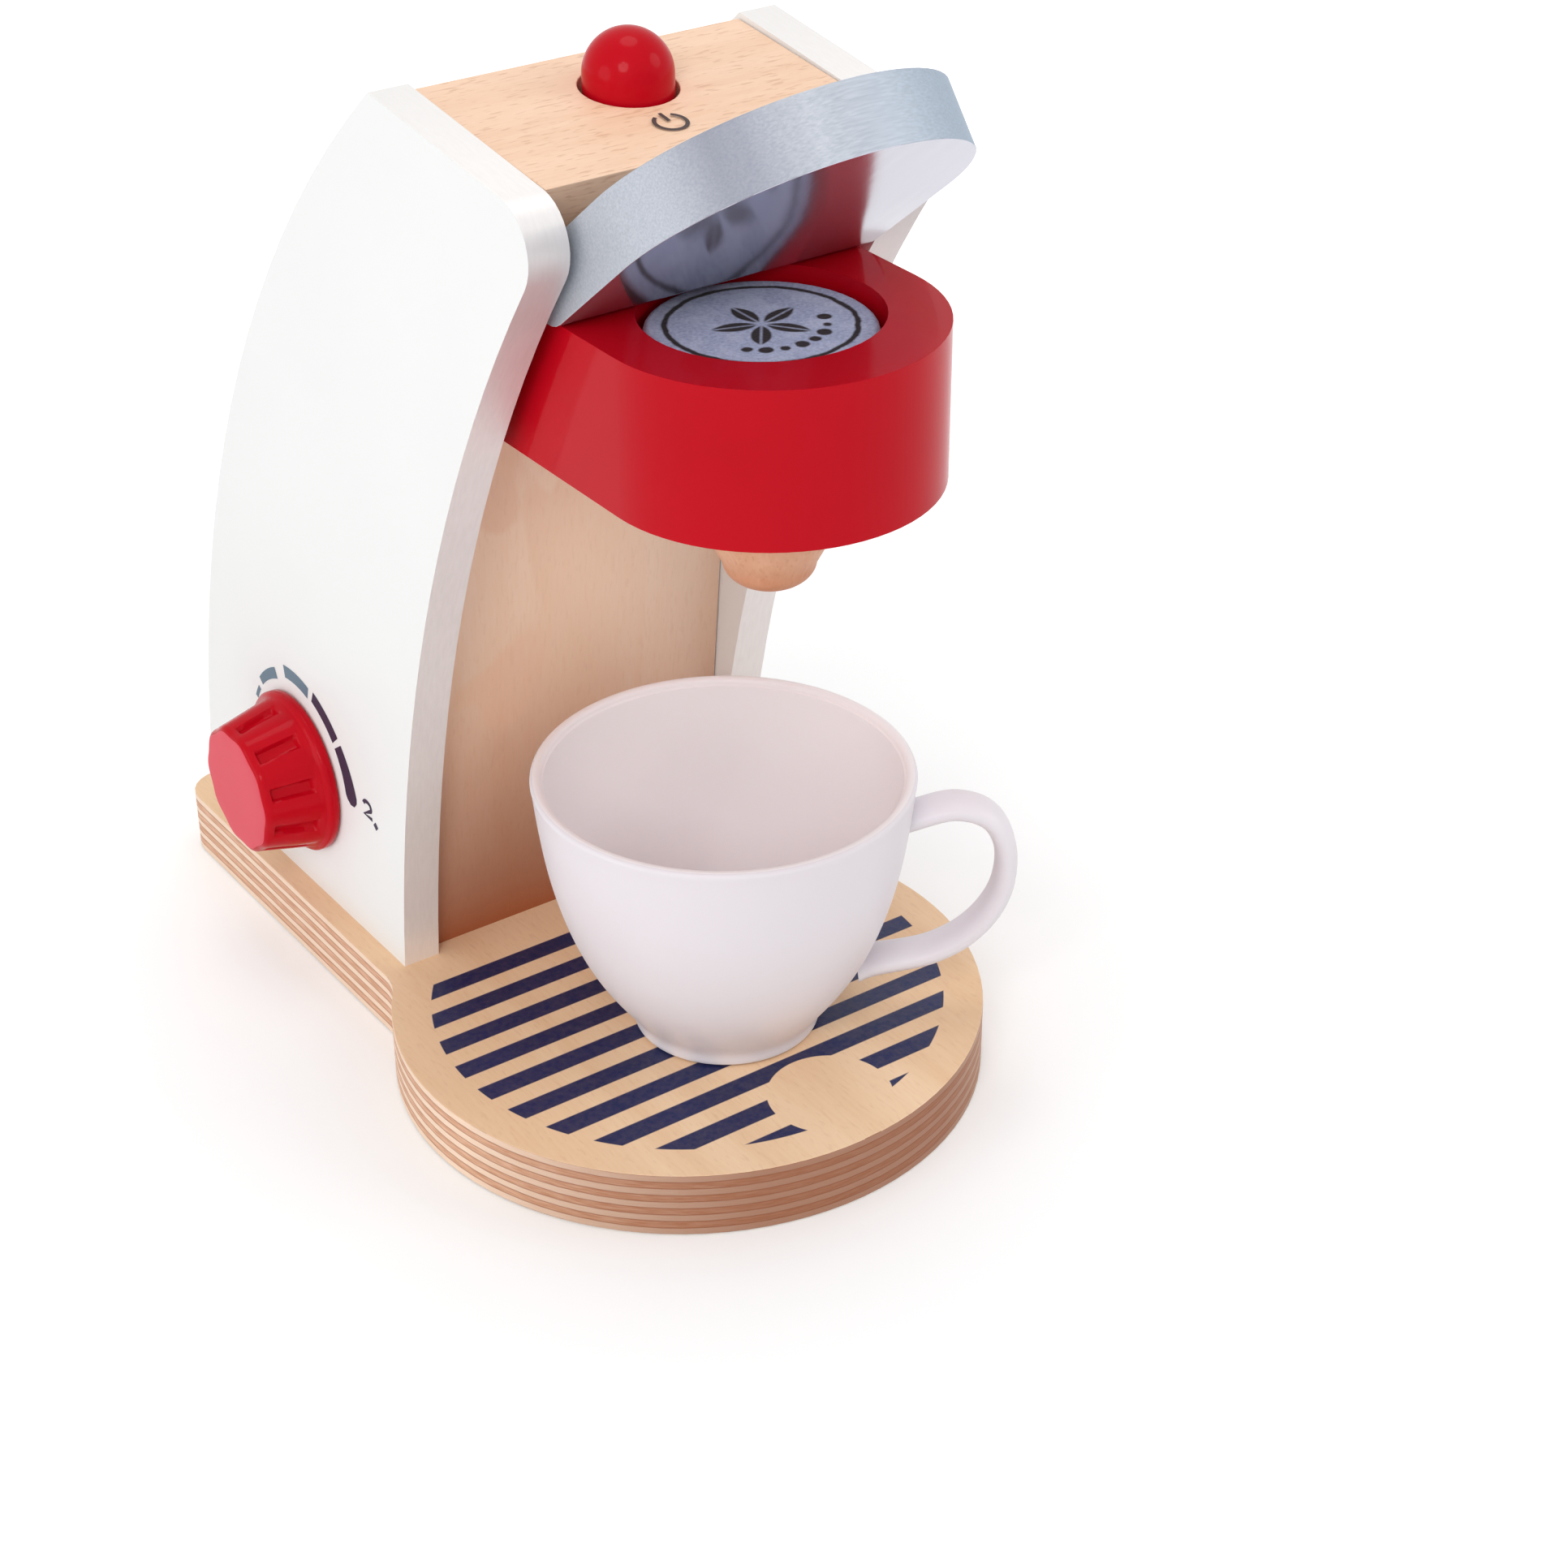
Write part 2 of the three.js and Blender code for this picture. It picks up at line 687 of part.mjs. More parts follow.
export default coffeeMaker;
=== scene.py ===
"""Looks of the wooden toy coffee maker: finishes, prints, fine round pieces, lights and the camera."""
import math

import bmesh
import bpy
from mathutils import Matrix, Vector


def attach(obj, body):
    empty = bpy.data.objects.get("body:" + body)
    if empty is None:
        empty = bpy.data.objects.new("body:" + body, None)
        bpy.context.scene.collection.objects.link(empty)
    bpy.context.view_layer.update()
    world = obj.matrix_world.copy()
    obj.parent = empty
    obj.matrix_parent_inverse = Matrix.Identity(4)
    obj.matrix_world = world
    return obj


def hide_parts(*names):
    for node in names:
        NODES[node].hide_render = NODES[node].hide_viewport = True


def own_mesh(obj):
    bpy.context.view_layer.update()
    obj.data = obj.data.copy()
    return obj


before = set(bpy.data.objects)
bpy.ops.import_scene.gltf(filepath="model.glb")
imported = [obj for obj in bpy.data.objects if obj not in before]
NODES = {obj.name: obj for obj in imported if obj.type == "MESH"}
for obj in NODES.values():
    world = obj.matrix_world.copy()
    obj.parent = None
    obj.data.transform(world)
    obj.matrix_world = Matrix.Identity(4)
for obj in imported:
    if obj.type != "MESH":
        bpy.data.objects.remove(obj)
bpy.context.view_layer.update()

MM = 0.001
TURN = 2 * math.pi


# Places on the object that the looks refer to. Lengths are in millimetres, except for the floor and the
# lights. The slope has no unit, and the lid's angle is in radians

BASE_TOP = 14.0
PANEL_OUTSIDE = -42.7
DIAL_CENTRE = (81.0, 42.0)
TOP_REAR = (29.0, 202.3)
TOP_SLOPE = 0.1346
HEAD_BOTTOM = 141.7
HEAD_CENTRE = -29.2
CAPSULE_CENTRE = (0.0, -27.0)
LID_REST = math.radians(39)
PRINT_LIFT = 0.05


# The photograph's camera: angles in degrees, and the picture's width and focal length in pixels

CAMERA_AZIMUTH = 35.62
CAMERA_ELEVATION = 31.46
CAMERA_PLACE = (-276.87, -420.03, 370.71)
CAMERA_NEAREST = 10.0
PHOTO_WIDTH = 1932
PHOTO_FOCAL = 3722.25
SENSOR = 36.0


def add_camera():
    turn = math.radians(CAMERA_AZIMUTH)
    tilt = math.radians(CAMERA_ELEVATION)
    back = Vector((-math.sin(turn) * math.cos(tilt), -math.cos(turn) * math.cos(tilt), math.sin(tilt)))
    right = Vector((math.cos(turn), -math.sin(turn), 0))
    up = back.cross(right)
    data = bpy.data.cameras.new("camera")
    data.sensor_fit = "HORIZONTAL"
    data.sensor_width = SENSOR
    data.lens = PHOTO_FOCAL / PHOTO_WIDTH * SENSOR
    data.clip_start = CAMERA_NEAREST * MM
    camera = bpy.data.objects.new("camera", data)
    axes = Matrix((right, up, back)).transposed().to_4x4()
    camera.matrix_world = Matrix.Translation(Vector(CAMERA_PLACE) * MM) @ axes
    bpy.context.scene.collection.objects.link(camera)
    bpy.context.scene.camera = camera


# Node graphs. A Mix node's colour sockets come after those for numbers and vectors

MIX_SHARE = 0
MIX_FIRST = 6
MIX_SECOND = 7
MIX_RESULT = 2


def linear(*srgb):
    """A colour written as 0 to 255, as it should look in the picture, made linear."""
    values = [v / 255 for v in srgb]
    return tuple(v / 12.92 if v <= 0.04045 else ((v + 0.055) / 1.055) ** 2.4 for v in values) + (1.0,)


class Graph:
    """A material's node tree, with short calls for the nodes used here."""

    def __init__(self, name, roughness=0.5, metallic=0.0, coat=0.0, coat_roughness=0.1, specular=0.5):
        self.material = bpy.data.materials.new(name)
        self.material.use_nodes = True
        self.tree = self.material.node_tree
        self.shader = self.tree.nodes["Principled BSDF"]
        self.shader.inputs["Roughness"].default_value = roughness
        self.shader.inputs["Metallic"].default_value = metallic
        self.shader.inputs["Coat Weight"].default_value = coat
        self.shader.inputs["Coat Roughness"].default_value = coat_roughness
        self.shader.inputs["Specular IOR Level"].default_value = specular
        self.place = self.node("ShaderNodeTexCoord").outputs["Object"]

    def node(self, kind, **settings):
        made = self.tree.nodes.new(kind)
        for key, value in settings.items():
            setattr(made, key, value)
        return made

    def feed(self, socket, value):
        if isinstance(value, bpy.types.NodeSocket):
            self.tree.links.new(value, socket)
        else:
            socket.default_value = value

    def math(self, operation, first, second=0.0):
        made = self.node("ShaderNodeMath", operation=operation)
        self.feed(made.inputs[0], first)
        self.feed(made.inputs[1], second)
        return made.outputs[0]

    def plus(self, first, second):
        return self.math("ADD", first, second)

    def minus(self, first, second):
        return self.math("SUBTRACT", first, second)

    def times(self, first, second):
        return self.math("MULTIPLY", first, second)

    def absolute(self, value):
        return self.math("ABSOLUTE", value)

    def axes(self):
        made = self.node("ShaderNodeSeparateXYZ")
        self.feed(made.inputs[0], self.place)
        return made.outputs

    def noise(self, scale, detail=2.0, stretch=(1, 1, 1), distortion=0.0):
        """Noise with scale cells in a metre. A stretch below 1 draws it out along that axis."""
        mapping = self.node("ShaderNodeMapping")
        self.feed(mapping.inputs["Vector"], self.place)
        mapping.inputs["Scale"].default_value = stretch
        made = self.node("ShaderNodeTexNoise")
        self.feed(made.inputs["Vector"], mapping.outputs[0])
        made.inputs["Scale"].default_value = scale
        made.inputs["Detail"].default_value = detail
        made.inputs["Distortion"].default_value = distortion
        return made.outputs["Fac"]

    def ramp(self, value, low, high, to_low=0.0, to_high=1.0):
        made = self.node("ShaderNodeMapRange", clamp=True)
        for socket, item in zip(made.inputs, (value, low, high, to_low, to_high)):
            self.feed(socket, item)
        return made.outputs[0]

    def between(self, value, start, end):
        """0 at the start and 1 at the end, both in millimetres."""
        return self.ramp(value, start * MM, end * MM)

    def mix(self, share, first, second):
        made = self.node("ShaderNodeMix", data_type="RGBA")
        self.feed(made.inputs[MIX_SHARE], share)
        self.feed(made.inputs[MIX_FIRST], first)
        self.feed(made.inputs[MIX_SECOND], second)
        return made.outputs[MIX_RESULT]

    def below(self, value, limit, soft):
        """1 where value is below the limit and 0 above it, with a soft edge."""
        low = self.minus(limit, soft)
        high = self.plus(limit, soft)
        return self.ramp(value, low, high, 1.0, 0.0)

    def bump(self, height, relief, strength=0.5):
        """Relief whose depth is in millimetres."""
        made = self.node("ShaderNodeBump")
        self.feed(made.inputs["Height"], height)
        made.inputs["Distance"].default_value = relief * MM
        made.inputs["Strength"].default_value = strength
        self.feed(self.shader.inputs["Normal"], made.outputs[0])

    def colour(self, value):
        self.feed(self.shader.inputs["Base Color"], value)
        return self.material

    def radius(self, first, second):
        """Distance of two coordinates from their zero."""
        first_square = self.times(first, first)
        second_square = self.times(second, second)
        return self.math("SQRT", self.plus(first_square, second_square))


# Wood. A reach is where one tone turns into another: two levels of a noise, or two places

ALONG_X = 0
ALONG_Y = 1
ALONG_Z = 2
FIGURE_SCALE = 34
FIBRE_SCALE = 1300
FLECK_SCALE = 1500
FIBRE_STRETCH = 0.09
FLECK_STRETCH = 0.2
FIGURE_REACH = (0.34, 0.66)
FIBRE_REACH = (0.3, 0.72)
FLECK_REACH = (0.58, 0.7)
FIGURE_SHARE = 0.7
SPECK_SHARE = 0.45
FLECK_DEPTH = 0.6
WOOD_RELIEF = 0.04


def grain(graph, light, dark, along, flecks):
    """Colour and height of beech along one axis: broad figure, fine fibres and short darker flecks."""
    run = [1.0, 1.0, 1.0]
    run[along] = FIBRE_STRETCH
    short = [1.0, 1.0, 1.0]
    short[along] = FLECK_STRETCH
    broad = graph.noise(FIGURE_SCALE, 2.0, run, 1.5)
    fibre = graph.noise(FIBRE_SCALE, 3.0, run)
    cells = graph.noise(FLECK_SCALE, 1.0, short)
    fleck = graph.ramp(cells, *FLECK_REACH)
    figure = graph.ramp(broad, *FIGURE_REACH)
    fine = graph.ramp(fibre, *FIBRE_REACH)
    tone = graph.plus(graph.times(figure, FIGURE_SHARE), graph.times(fine, 1 - FIGURE_SHARE))
    base = graph.mix(tone, light, dark)
    speck = graph.mix(SPECK_SHARE, dark, linear(168, 104, 66))
    height = graph.minus(fibre, graph.times(fleck, FLECK_DEPTH))
    return graph.mix(graph.times(fleck, flecks), base, speck), height


def beech(name, along, light, dark, flecks=0.35):
    graph = Graph(name, roughness=0.46, coat=0.12, coat_roughness=0.3, specular=0.3)
    tone, height = grain(graph, light, dark, along, flecks)
    graph.bump(height, WOOD_RELIEF)
    return graph.colour(tone)


BOARD_SHADE_FROM = 112.0
BOARD_FOOT_SHADE_POWER = 1.5
BOARD_FOOT_SHADE_SHARE = 0.95
BOARD_FIGURE_SCALE = 26
BOARD_FIGURE_REACH = (0.5, 0.53)
BOARD_FIGURE_ACROSS = (20.0, -20.0)
BOARD_FIGURE_UP = (45.0, 75.0)
BOARD_FIGURE_SHARE = 0.35


def board_beech():
    """The board behind the cup: painted shade that deepens it toward its foot, with a warmer figure high
    on the left.
    """
    graph = Graph("beech_board", roughness=0.5, coat=0.1, coat_roughness=0.3, specular=0.3)
    x, _, z = graph.axes()
    tone, height = grain(graph, linear(255, 230, 206), linear(252, 214, 182), ALONG_Z, flecks=0.12)
    # Painted shade: darker and more orange from high on the board down to its foot
    foot = graph.math("POWER", graph.between(z, BOARD_SHADE_FROM, BASE_TOP), BOARD_FOOT_SHADE_POWER)
    tone = graph.mix(graph.times(foot, BOARD_FOOT_SHADE_SHARE), tone, linear(158, 76, 28))
    figure = graph.noise(BOARD_FIGURE_SCALE, 1.0, (1.0, 1.0, 0.55), 1.4)
    edge = graph.ramp(figure, *BOARD_FIGURE_REACH)
    side = graph.times(graph.between(x, *BOARD_FIGURE_ACROSS), graph.between(z, *BOARD_FIGURE_UP))
    share = graph.times(graph.times(edge, side), BOARD_FIGURE_SHARE)
    tone = graph.mix(share, tone, linear(238, 190, 156))
    graph.bump(height, WOOD_RELIEF)
    return graph.colour(tone)


# The base's printed stripes, in millimetres. They end on a circle and leave a round spot bare

STRIPE_FIRST = 29.5
STRIPE_PITCH = 8.88
STRIPE_WIDTH = 4.5
STRIPE_RADIUS = 52.0
STRIPE_EDGE_SHARE = 0.012
CLEARING = (3.0, -44.7)
CLEARING_RADIUS = 12.3
PRINT_EDGE = 0.08
PRINT_START_EDGE = 0.1
PRINT_LEVEL = (BASE_TOP * 0.5, BASE_TOP * 0.6)
WORN_INK = 0.96


def plywood_face():
    """The lacquered face of the base, with the printed stripes of the drip area and a bare round spot."""
    graph = Graph("plywood_face", roughness=0.45, coat=0.1, coat_roughness=0.35, specular=0.3)
    x, y, z = graph.axes()
    veneer, height = grain(graph, linear(246, 214, 178), linear(234, 194, 154), ALONG_Y, flecks=0.18)

    printed = graph.below(graph.radius(x, y), STRIPE_RADIUS * MM, PRINT_EDGE * MM)
    start = (STRIPE_FIRST + STRIPE_PITCH / 2) * MM
    offset = graph.minus(start, y)
    phase = graph.math("FRACT", graph.math("DIVIDE", offset, STRIPE_PITCH * MM))
    across = graph.absolute(graph.minus(phase, 0.5))
    stripe = graph.below(across, STRIPE_WIDTH / STRIPE_PITCH / 2, STRIPE_EDGE_SHARE)
    behind = graph.below(y, start, PRINT_START_EDGE * MM)
    clear_x = graph.minus(x, CLEARING[0] * MM)
    clear_y = graph.minus(y, CLEARING[1] * MM)
    bare = graph.below(graph.radius(clear_x, clear_y), CLEARING_RADIUS * MM, PRINT_EDGE * MM)
    kept = graph.minus(1.0, bare)
    upper = graph.between(z, *PRINT_LEVEL)
    mask = stripe
    for part in (printed, behind, kept, upper):
        mask = graph.times(mask, part)
    wear = graph.ramp(graph.noise(900, 3.0), 0.3, 0.75, 1.0, WORN_INK)
    blue = graph.mix(graph.noise(60), linear(6, 20, 68), linear(16, 32, 88))
    graph.bump(height, WOOD_RELIEF)
    return graph.colour(graph.mix(graph.times(mask, wear), veneer, blue))


PLY_COUNT = 9
PLY_WOBBLE = 0.22
GLUE_WIDTH = 0.07
GLUE_EDGE = 0.06
GLUE_SHARE = 0.75
FRONT_SHADE_REACH = (-10.0, -56.0)
FRONT_SHADE_SHARE = 0.78


def plywood_edge():
    """The sawn edge: pale and deeper plies in turn, with dark glue lines, and painted shade that deepens
    it toward the front.
    """
    graph = Graph("plywood_edge", roughness=0.55, specular=0.3)
    _, y, z = graph.axes()
    layer = graph.math("DIVIDE", z, BASE_TOP / PLY_COUNT * MM)
    wobble = graph.times(graph.minus(graph.noise(60, 2.0, (1, 1, 6)), 0.5), PLY_WOBBLE)
    layer = graph.plus(layer, wobble)
    share = graph.math("FRACT", layer)
    parity = graph.math("PINGPONG", graph.math("FLOOR", layer), 1.0)
    to_line = graph.math("MINIMUM", share, graph.minus(1.0, share))
    glue = graph.below(to_line, GLUE_WIDTH, GLUE_EDGE)
    streak = graph.noise(240, 3.0, (1, 1, 14))
    pale = graph.mix(streak, linear(255, 232, 210), linear(242, 206, 178))
    deep = graph.mix(graph.ramp(streak, 0.3, 0.7), linear(238, 194, 164), linear(202, 146, 112))
    edge = graph.mix(parity, pale, deep)
    edge = graph.mix(graph.times(glue, GLUE_SHARE), edge, linear(146, 90, 60))
    # Painted shade, darker toward the base's front
    front = graph.between(y, *FRONT_SHADE_REACH)
    edge = graph.mix(graph.times(front, FRONT_SHADE_SHARE), edge, linear(142, 78, 44))
    graph.bump(graph.minus(streak, glue), 0.06, 0.6)
    return graph.colour(edge)


# Paints and other finishes


def white_paint():
    graph = Graph("white_paint", roughness=0.45, specular=0.25)
    graph.bump(graph.noise(700, 2.0), 0.03, 0.3)
    return graph.colour(graph.mix(graph.noise(30), linear(244, 245, 244), linear(240, 241, 240)))


CURVE_BEGINS = (150.0, 175.0)
CURVE_ENDS = (197.0, 190.0)
CURVE_SHADE_SHARE = 0.45
CROWN_BEGINS = (192.0, 202.0)
CROWN_SHADE_SHARE = 0.6


def silver_paint():
    """Satin silver on the panels' narrow edges, with painted shade that greys it round the upper curve
    and, more lightly, on the crown.
    """
    graph = Graph("silver_paint", roughness=0.45, metallic=0.35)
    streak = graph.noise(1800, 3.0, (1, 0.15, 0.15))
    graph.bump(streak, 0.03, 0.4)
    silver = graph.mix(streak, linear(252, 248, 246), linear(238, 233, 231))
    height = graph.axes()["Z"]
    # Painted shade by height: grey round the upper curve, a lighter grey on the crown
    curve = graph.times(graph.between(height, *CURVE_BEGINS), graph.between(height, *CURVE_ENDS))
    silver = graph.mix(graph.times(curve, CURVE_SHADE_SHARE), silver, linear(176, 172, 174))
    crown = graph.between(height, *CROWN_BEGINS)
    return graph.colour(graph.mix(graph.times(crown, CROWN_SHADE_SHARE), silver, linear(228, 227, 225)))


def red_paint():
    graph = Graph("red_paint", roughness=0.4, coat=0.6, coat_roughness=0.09, specular=0.03)
    graph.shader.inputs["Coat IOR"].default_value = 1.2
    graph.bump(graph.noise(420, 2.0), 0.03, 0.25)
    return graph.colour(graph.mix(graph.noise(45), linear(196, 7, 28), linear(184, 5, 24)))


def red_face_painted_light():
    """The knob's end face: flatter paint, paler as a painted reflection."""
    graph = Graph("red_face_painted_light", roughness=0.5, coat=0.15, coat_roughness=0.3, specular=0.3)
    graph.bump(graph.noise(420, 2.0), 0.03, 0.3)
    return graph.colour(graph.mix(graph.noise(60), linear(224, 66, 84), linear(214, 52, 70)))


FOIL_REFLECTION_REACH = (-10.0, 26.0)
FOIL_STREAK_SHARE = 0.5
RIM_DARK_REFLECTION_PLACE = -22.0
RIM_DARK_REFLECTION_REACH = (12.0, 2.0)


def silver_foil(name, shade):
    """Brushed foil on the lid, bluer toward its right as a painted reflection. shade is how much a
    painted dark reflection darkens it left of the middle.
    """
    graph = Graph(name, roughness=0.55, metallic=0.55)
    x = graph.axes()["X"]
    streak = graph.noise(2800, 3.0, (0.06, 1.0, 1.0))
    broad = graph.noise(38, 2.0, (1.0, 0.3, 0.3))
    off_place = graph.absolute(graph.minus(x, RIM_DARK_REFLECTION_PLACE * MM))
    # Painted reflection: grey on the lid's left, bluer on its right
    side = graph.between(x, *FOIL_REFLECTION_REACH)
    body = graph.mix(side, linear(196, 200, 208), linear(160, 178, 196))
    streaks = graph.ramp(streak, 0.3, 0.7, 0.0, FOIL_STREAK_SHARE)
    body = graph.mix(streaks, body, linear(150, 158, 170))
    # Painted dark reflection left of the middle, in soft patches
    near = graph.between(off_place, *RIM_DARK_REFLECTION_REACH)
    deep = graph.times(near, graph.ramp(broad, 0.2, 0.7, 0.6, 1.0))
    graph.bump(streak, 0.04)
    return graph.colour(graph.mix(graph.times(deep, shade), body, linear(100, 100, 116)))


def lid_mirror():
    """The smoother, softly mirroring underside of the lid."""
    graph = Graph("lid_mirror", roughness=0.13, metallic=0.85)
    streak = graph.noise(500, 2.0, (1.0, 0.08, 0.08))
    graph.bump(streak, 0.02)
    return graph.colour(graph.mix(streak, linear(202, 201, 213), linear(188, 187, 203)))


def steel():
    graph = Graph("steel", roughness=0.3, metallic=1.0)
    streak = graph.noise(900, 3.0)
    graph.bump(streak, 0.03, 0.3)
    return graph.colour(graph.mix(streak, linear(200, 202, 204), linear(168, 170, 174)))


# The capsule's felt and its print, in millimetres and degrees

FELT_TOP_REACH = (167.5, 168.0)
FELT_RAGGED = 1.2
FELT_RING = 16.6
FELT_RING_HALF_WIDTH = 0.52
INK_EDGE = 0.2
LEAF_COUNT = 5
LEAF_DISTANCE = 4.9
LEAF_SIZE = 4.4
LEAF_SHIFT_SHARE = 0.9
LEAF_RADIUS_SHARE = 1.3
LEAF_RAGGED_SHARE = 0.4
RIB_HALF_WIDTH = 0.22
RIB_EDGE = 0.18
RIB_SHARE = 0.75
DOT_COUNT = 8
DOT_DISTANCE = 11.2
DOT_START = 222
DOT_STEP = 17
DOT_RADII = (0.9, 1.25)


def capsule_felt():
    """Blue-grey felt with a ragged dark ring, a rosette of slender leaves and an arc of dots."""
    graph = Graph("capsule_felt", roughness=0.95, specular=0.2)
    graph.shader.inputs["Sheen Weight"].default_value = 0.1
    x, y, z = graph.axes()
    across = graph.minus(x, CAPSULE_CENTRE[0] * MM)
    along = graph.minus(y, CAPSULE_CENTRE[1] * MM)
    fuzz = graph.noise(1400, 4.0)
    patch = graph.noise(240, 3.0)
    felt = graph.mix(graph.ramp(fuzz, 0.3, 0.7), linear(190, 198, 222), linear(150, 158, 190))
    felt = graph.mix(graph.times(graph.ramp(patch, 0.45, 0.7), 0.4), felt, linear(214, 220, 238))
    ragged = graph.times(graph.minus(patch, 0.5), FELT_RAGGED * MM)
    distance = graph.plus(graph.radius(across, along), ragged)
    off_ring = graph.absolute(graph.minus(distance, FELT_RING * MM))
    mark = graph.below(off_ring, FELT_RING_HALF_WIDTH * MM, INK_EDGE * MM)
    for i in range(LEAF_COUNT):
        turn = math.radians(90 + i * 360 / LEAF_COUNT)
        mark = graph.math("MAXIMUM", mark, leaf(graph, across, along, turn, ragged))
    for i in range(DOT_COUNT):
        angle = math.radians(DOT_START + i * DOT_STEP)
        dot_x = graph.minus(across, DOT_DISTANCE * MM * math.cos(angle))
        dot_y = graph.minus(along, DOT_DISTANCE * MM * math.sin(angle))
        reach = graph.plus(graph.radius(dot_x, dot_y), ragged)
        dot = graph.below(reach, DOT_RADII[i % 2] * MM, INK_EDGE * MM)
        mark = graph.math("MAXIMUM", mark, dot)
    graph.bump(fuzz, 0.22, 0.7)
    top = graph.between(z, *FELT_TOP_REACH)
    return graph.colour(graph.mix(graph.times(mark, top), felt, linear(30, 16, 22)))


def leaf(graph, across, along, turn, ragged):
    """A pointed leaf that points outward, which is where two circles overlap, with a light midrib."""
    cosine = math.cos(turn)
    sine = math.sin(turn)
    dx = graph.minus(across, LEAF_DISTANCE * cosine * MM)
    dy = graph.minus(along, LEAF_DISTANCE * sine * MM)
    forward = graph.plus(graph.times(dx, cosine), graph.times(dy, sine))
    sideways = graph.absolute(graph.minus(graph.times(dy, cosine), graph.times(dx, sine)))
    outside = graph.plus(sideways, LEAF_SIZE * LEAF_SHIFT_SHARE * MM)
    reach = graph.plus(graph.radius(forward, outside), graph.times(ragged, LEAF_RAGGED_SHARE))
    body = graph.below(reach, LEAF_SIZE * LEAF_RADIUS_SHARE * MM, INK_EDGE * MM)
    rib = graph.below(sideways, RIB_HALF_WIDTH * MM, RIB_EDGE * MM)
    return graph.times(body, graph.minus(1.0, graph.times(rib, RIB_SHARE)))


PLASTIC_DEPTHS = (6.0, 5.0, 5.0)


def cup_plastic(name, light, dark):
    """Soft pale plastic. Red light goes a little deeper into it than green and blue."""
    graph = Graph(name, roughness=0.42, specular=0.4)
    graph.shader.inputs["Subsurface Weight"].default_value = 0.25
    graph.shader.inputs["Subsurface Radius"].default_value = [depth * MM for depth in PLASTIC_DEPTHS]
    graph.shader.inputs["Subsurface Scale"].default_value = 1.0
    graph.bump(graph.noise(2200, 2.0), 0.02, 0.4)
    return graph.colour(graph.mix(graph.noise(25, 1.0), light, dark))


def ink(name, colour):
    graph = Graph(name, roughness=0.5, specular=0.3)
    wear = graph.times(graph.noise(2500), 0.2)
    return graph.colour(graph.mix(wear, colour, linear(120, 120, 130)))


# Meshes. A point of an outline that is nearer to the axis than this is on it

ON_AXIS = 1e-6


def shade_smooth(obj, angle):
    for face in obj.data.polygons:
        face.use_smooth = True
    obj.data.set_sharp_from_angle(angle=math.radians(angle))


def mesh_object(name, vertices, faces, material, smooth_angle=35):
    mesh = bpy.data.meshes.new(name)
    mesh.from_pydata([tuple(Vector(v) * MM) for v in vertices], [], faces)
    made = bpy.data.objects.new(name, mesh)
    bpy.context.scene.collection.objects.link(made)
    body = bmesh.new()
    body.from_mesh(mesh)
    bmesh.ops.recalc_face_normals(body, faces=body.faces)
    body.to_mesh(mesh)
    body.free()
    shade_smooth(made, smooth_angle)
    made.data.materials.append(material)
    return made


def bridge(rings, sides):
    """Faces between neighbouring rings of point numbers. A ring of one point closes the shape."""
    faces = []
    for low, high in zip(rings, rings[1:]):
        for i in range(sides):
            j = (i + 1) % sides
            if len(low) == 1:
                faces.append((low[0], high[i], high[j]))
            elif len(high) == 1:
                faces.append((low[i], high[0], low[j]))
            else:
                faces.append((low[i], low[j], high[j], high[i]))
    return faces


def lathe(name, outline, material, place, sides=128):
    """Turns an outline of (radius, height) about the upright line through place."""
    centre = Vector(place)
    vertices = []
    rings = []
    for radius, height in outline:
        start = len(vertices)
        if radius < ON_AXIS:
            rings.append([start])
            vertices.append(Vector((0, 0, height)) + centre)
            continue
        for i in range(sides):
            angle = i / sides * TURN
            vertices.append(Vector((radius * math.cos(angle), radius * math.sin(angle), height)) + centre)
        rings.append(list(range(start, start + sides)))
    return mesh_object(name, vertices, bridge(rings, sides), material)


def arc(centre, radius, start, end, steps):
    """Points of an arc from start to end, in degrees."""
    points = []
    for i in range(steps + 1):
        angle = math.radians(start + (end - start) * i / steps)
        points.append((centre[0] + radius * math.cos(angle), centre[1] + radius * math.sin(angle)))
    return points


def spline(points, count):
    """A smooth curve through the points, as count + 1 points (Catmull-Rom)."""
    points = [Vector(p) for p in points]
    ends = [2 * points[0] - points[1]] + points + [2 * points[-1] - points[-2]]
    spans = len(points) - 1
    curve = []
    for i in range(count + 1):
        t = i / count * spans
        k = min(int(t), spans - 1)
        t -= k
        a, b, c, d = ends[k:k + 4]
        square = (2 * a - 5 * b + 4 * c - d) * t ** 2
        cube = (3 * b - a - 3 * c + d) * t ** 3
        curve.append(0.5 * (2 * b + (c - a) * t + square + cube))
    return curve


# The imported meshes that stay: finishes, joined points and rounded edges. A face is turned toward a
# direction where its normal's part along it is over these shares

MOSTLY_TOWARD = 0.5
TOWARD = 0.9
STRAIGHT_TOWARD = 0.95
JOIN_DISTANCE = 0.001
FLAT_ANGLE = math.radians(0.3)
ROUNDED_ANGLE = math.radians(35)


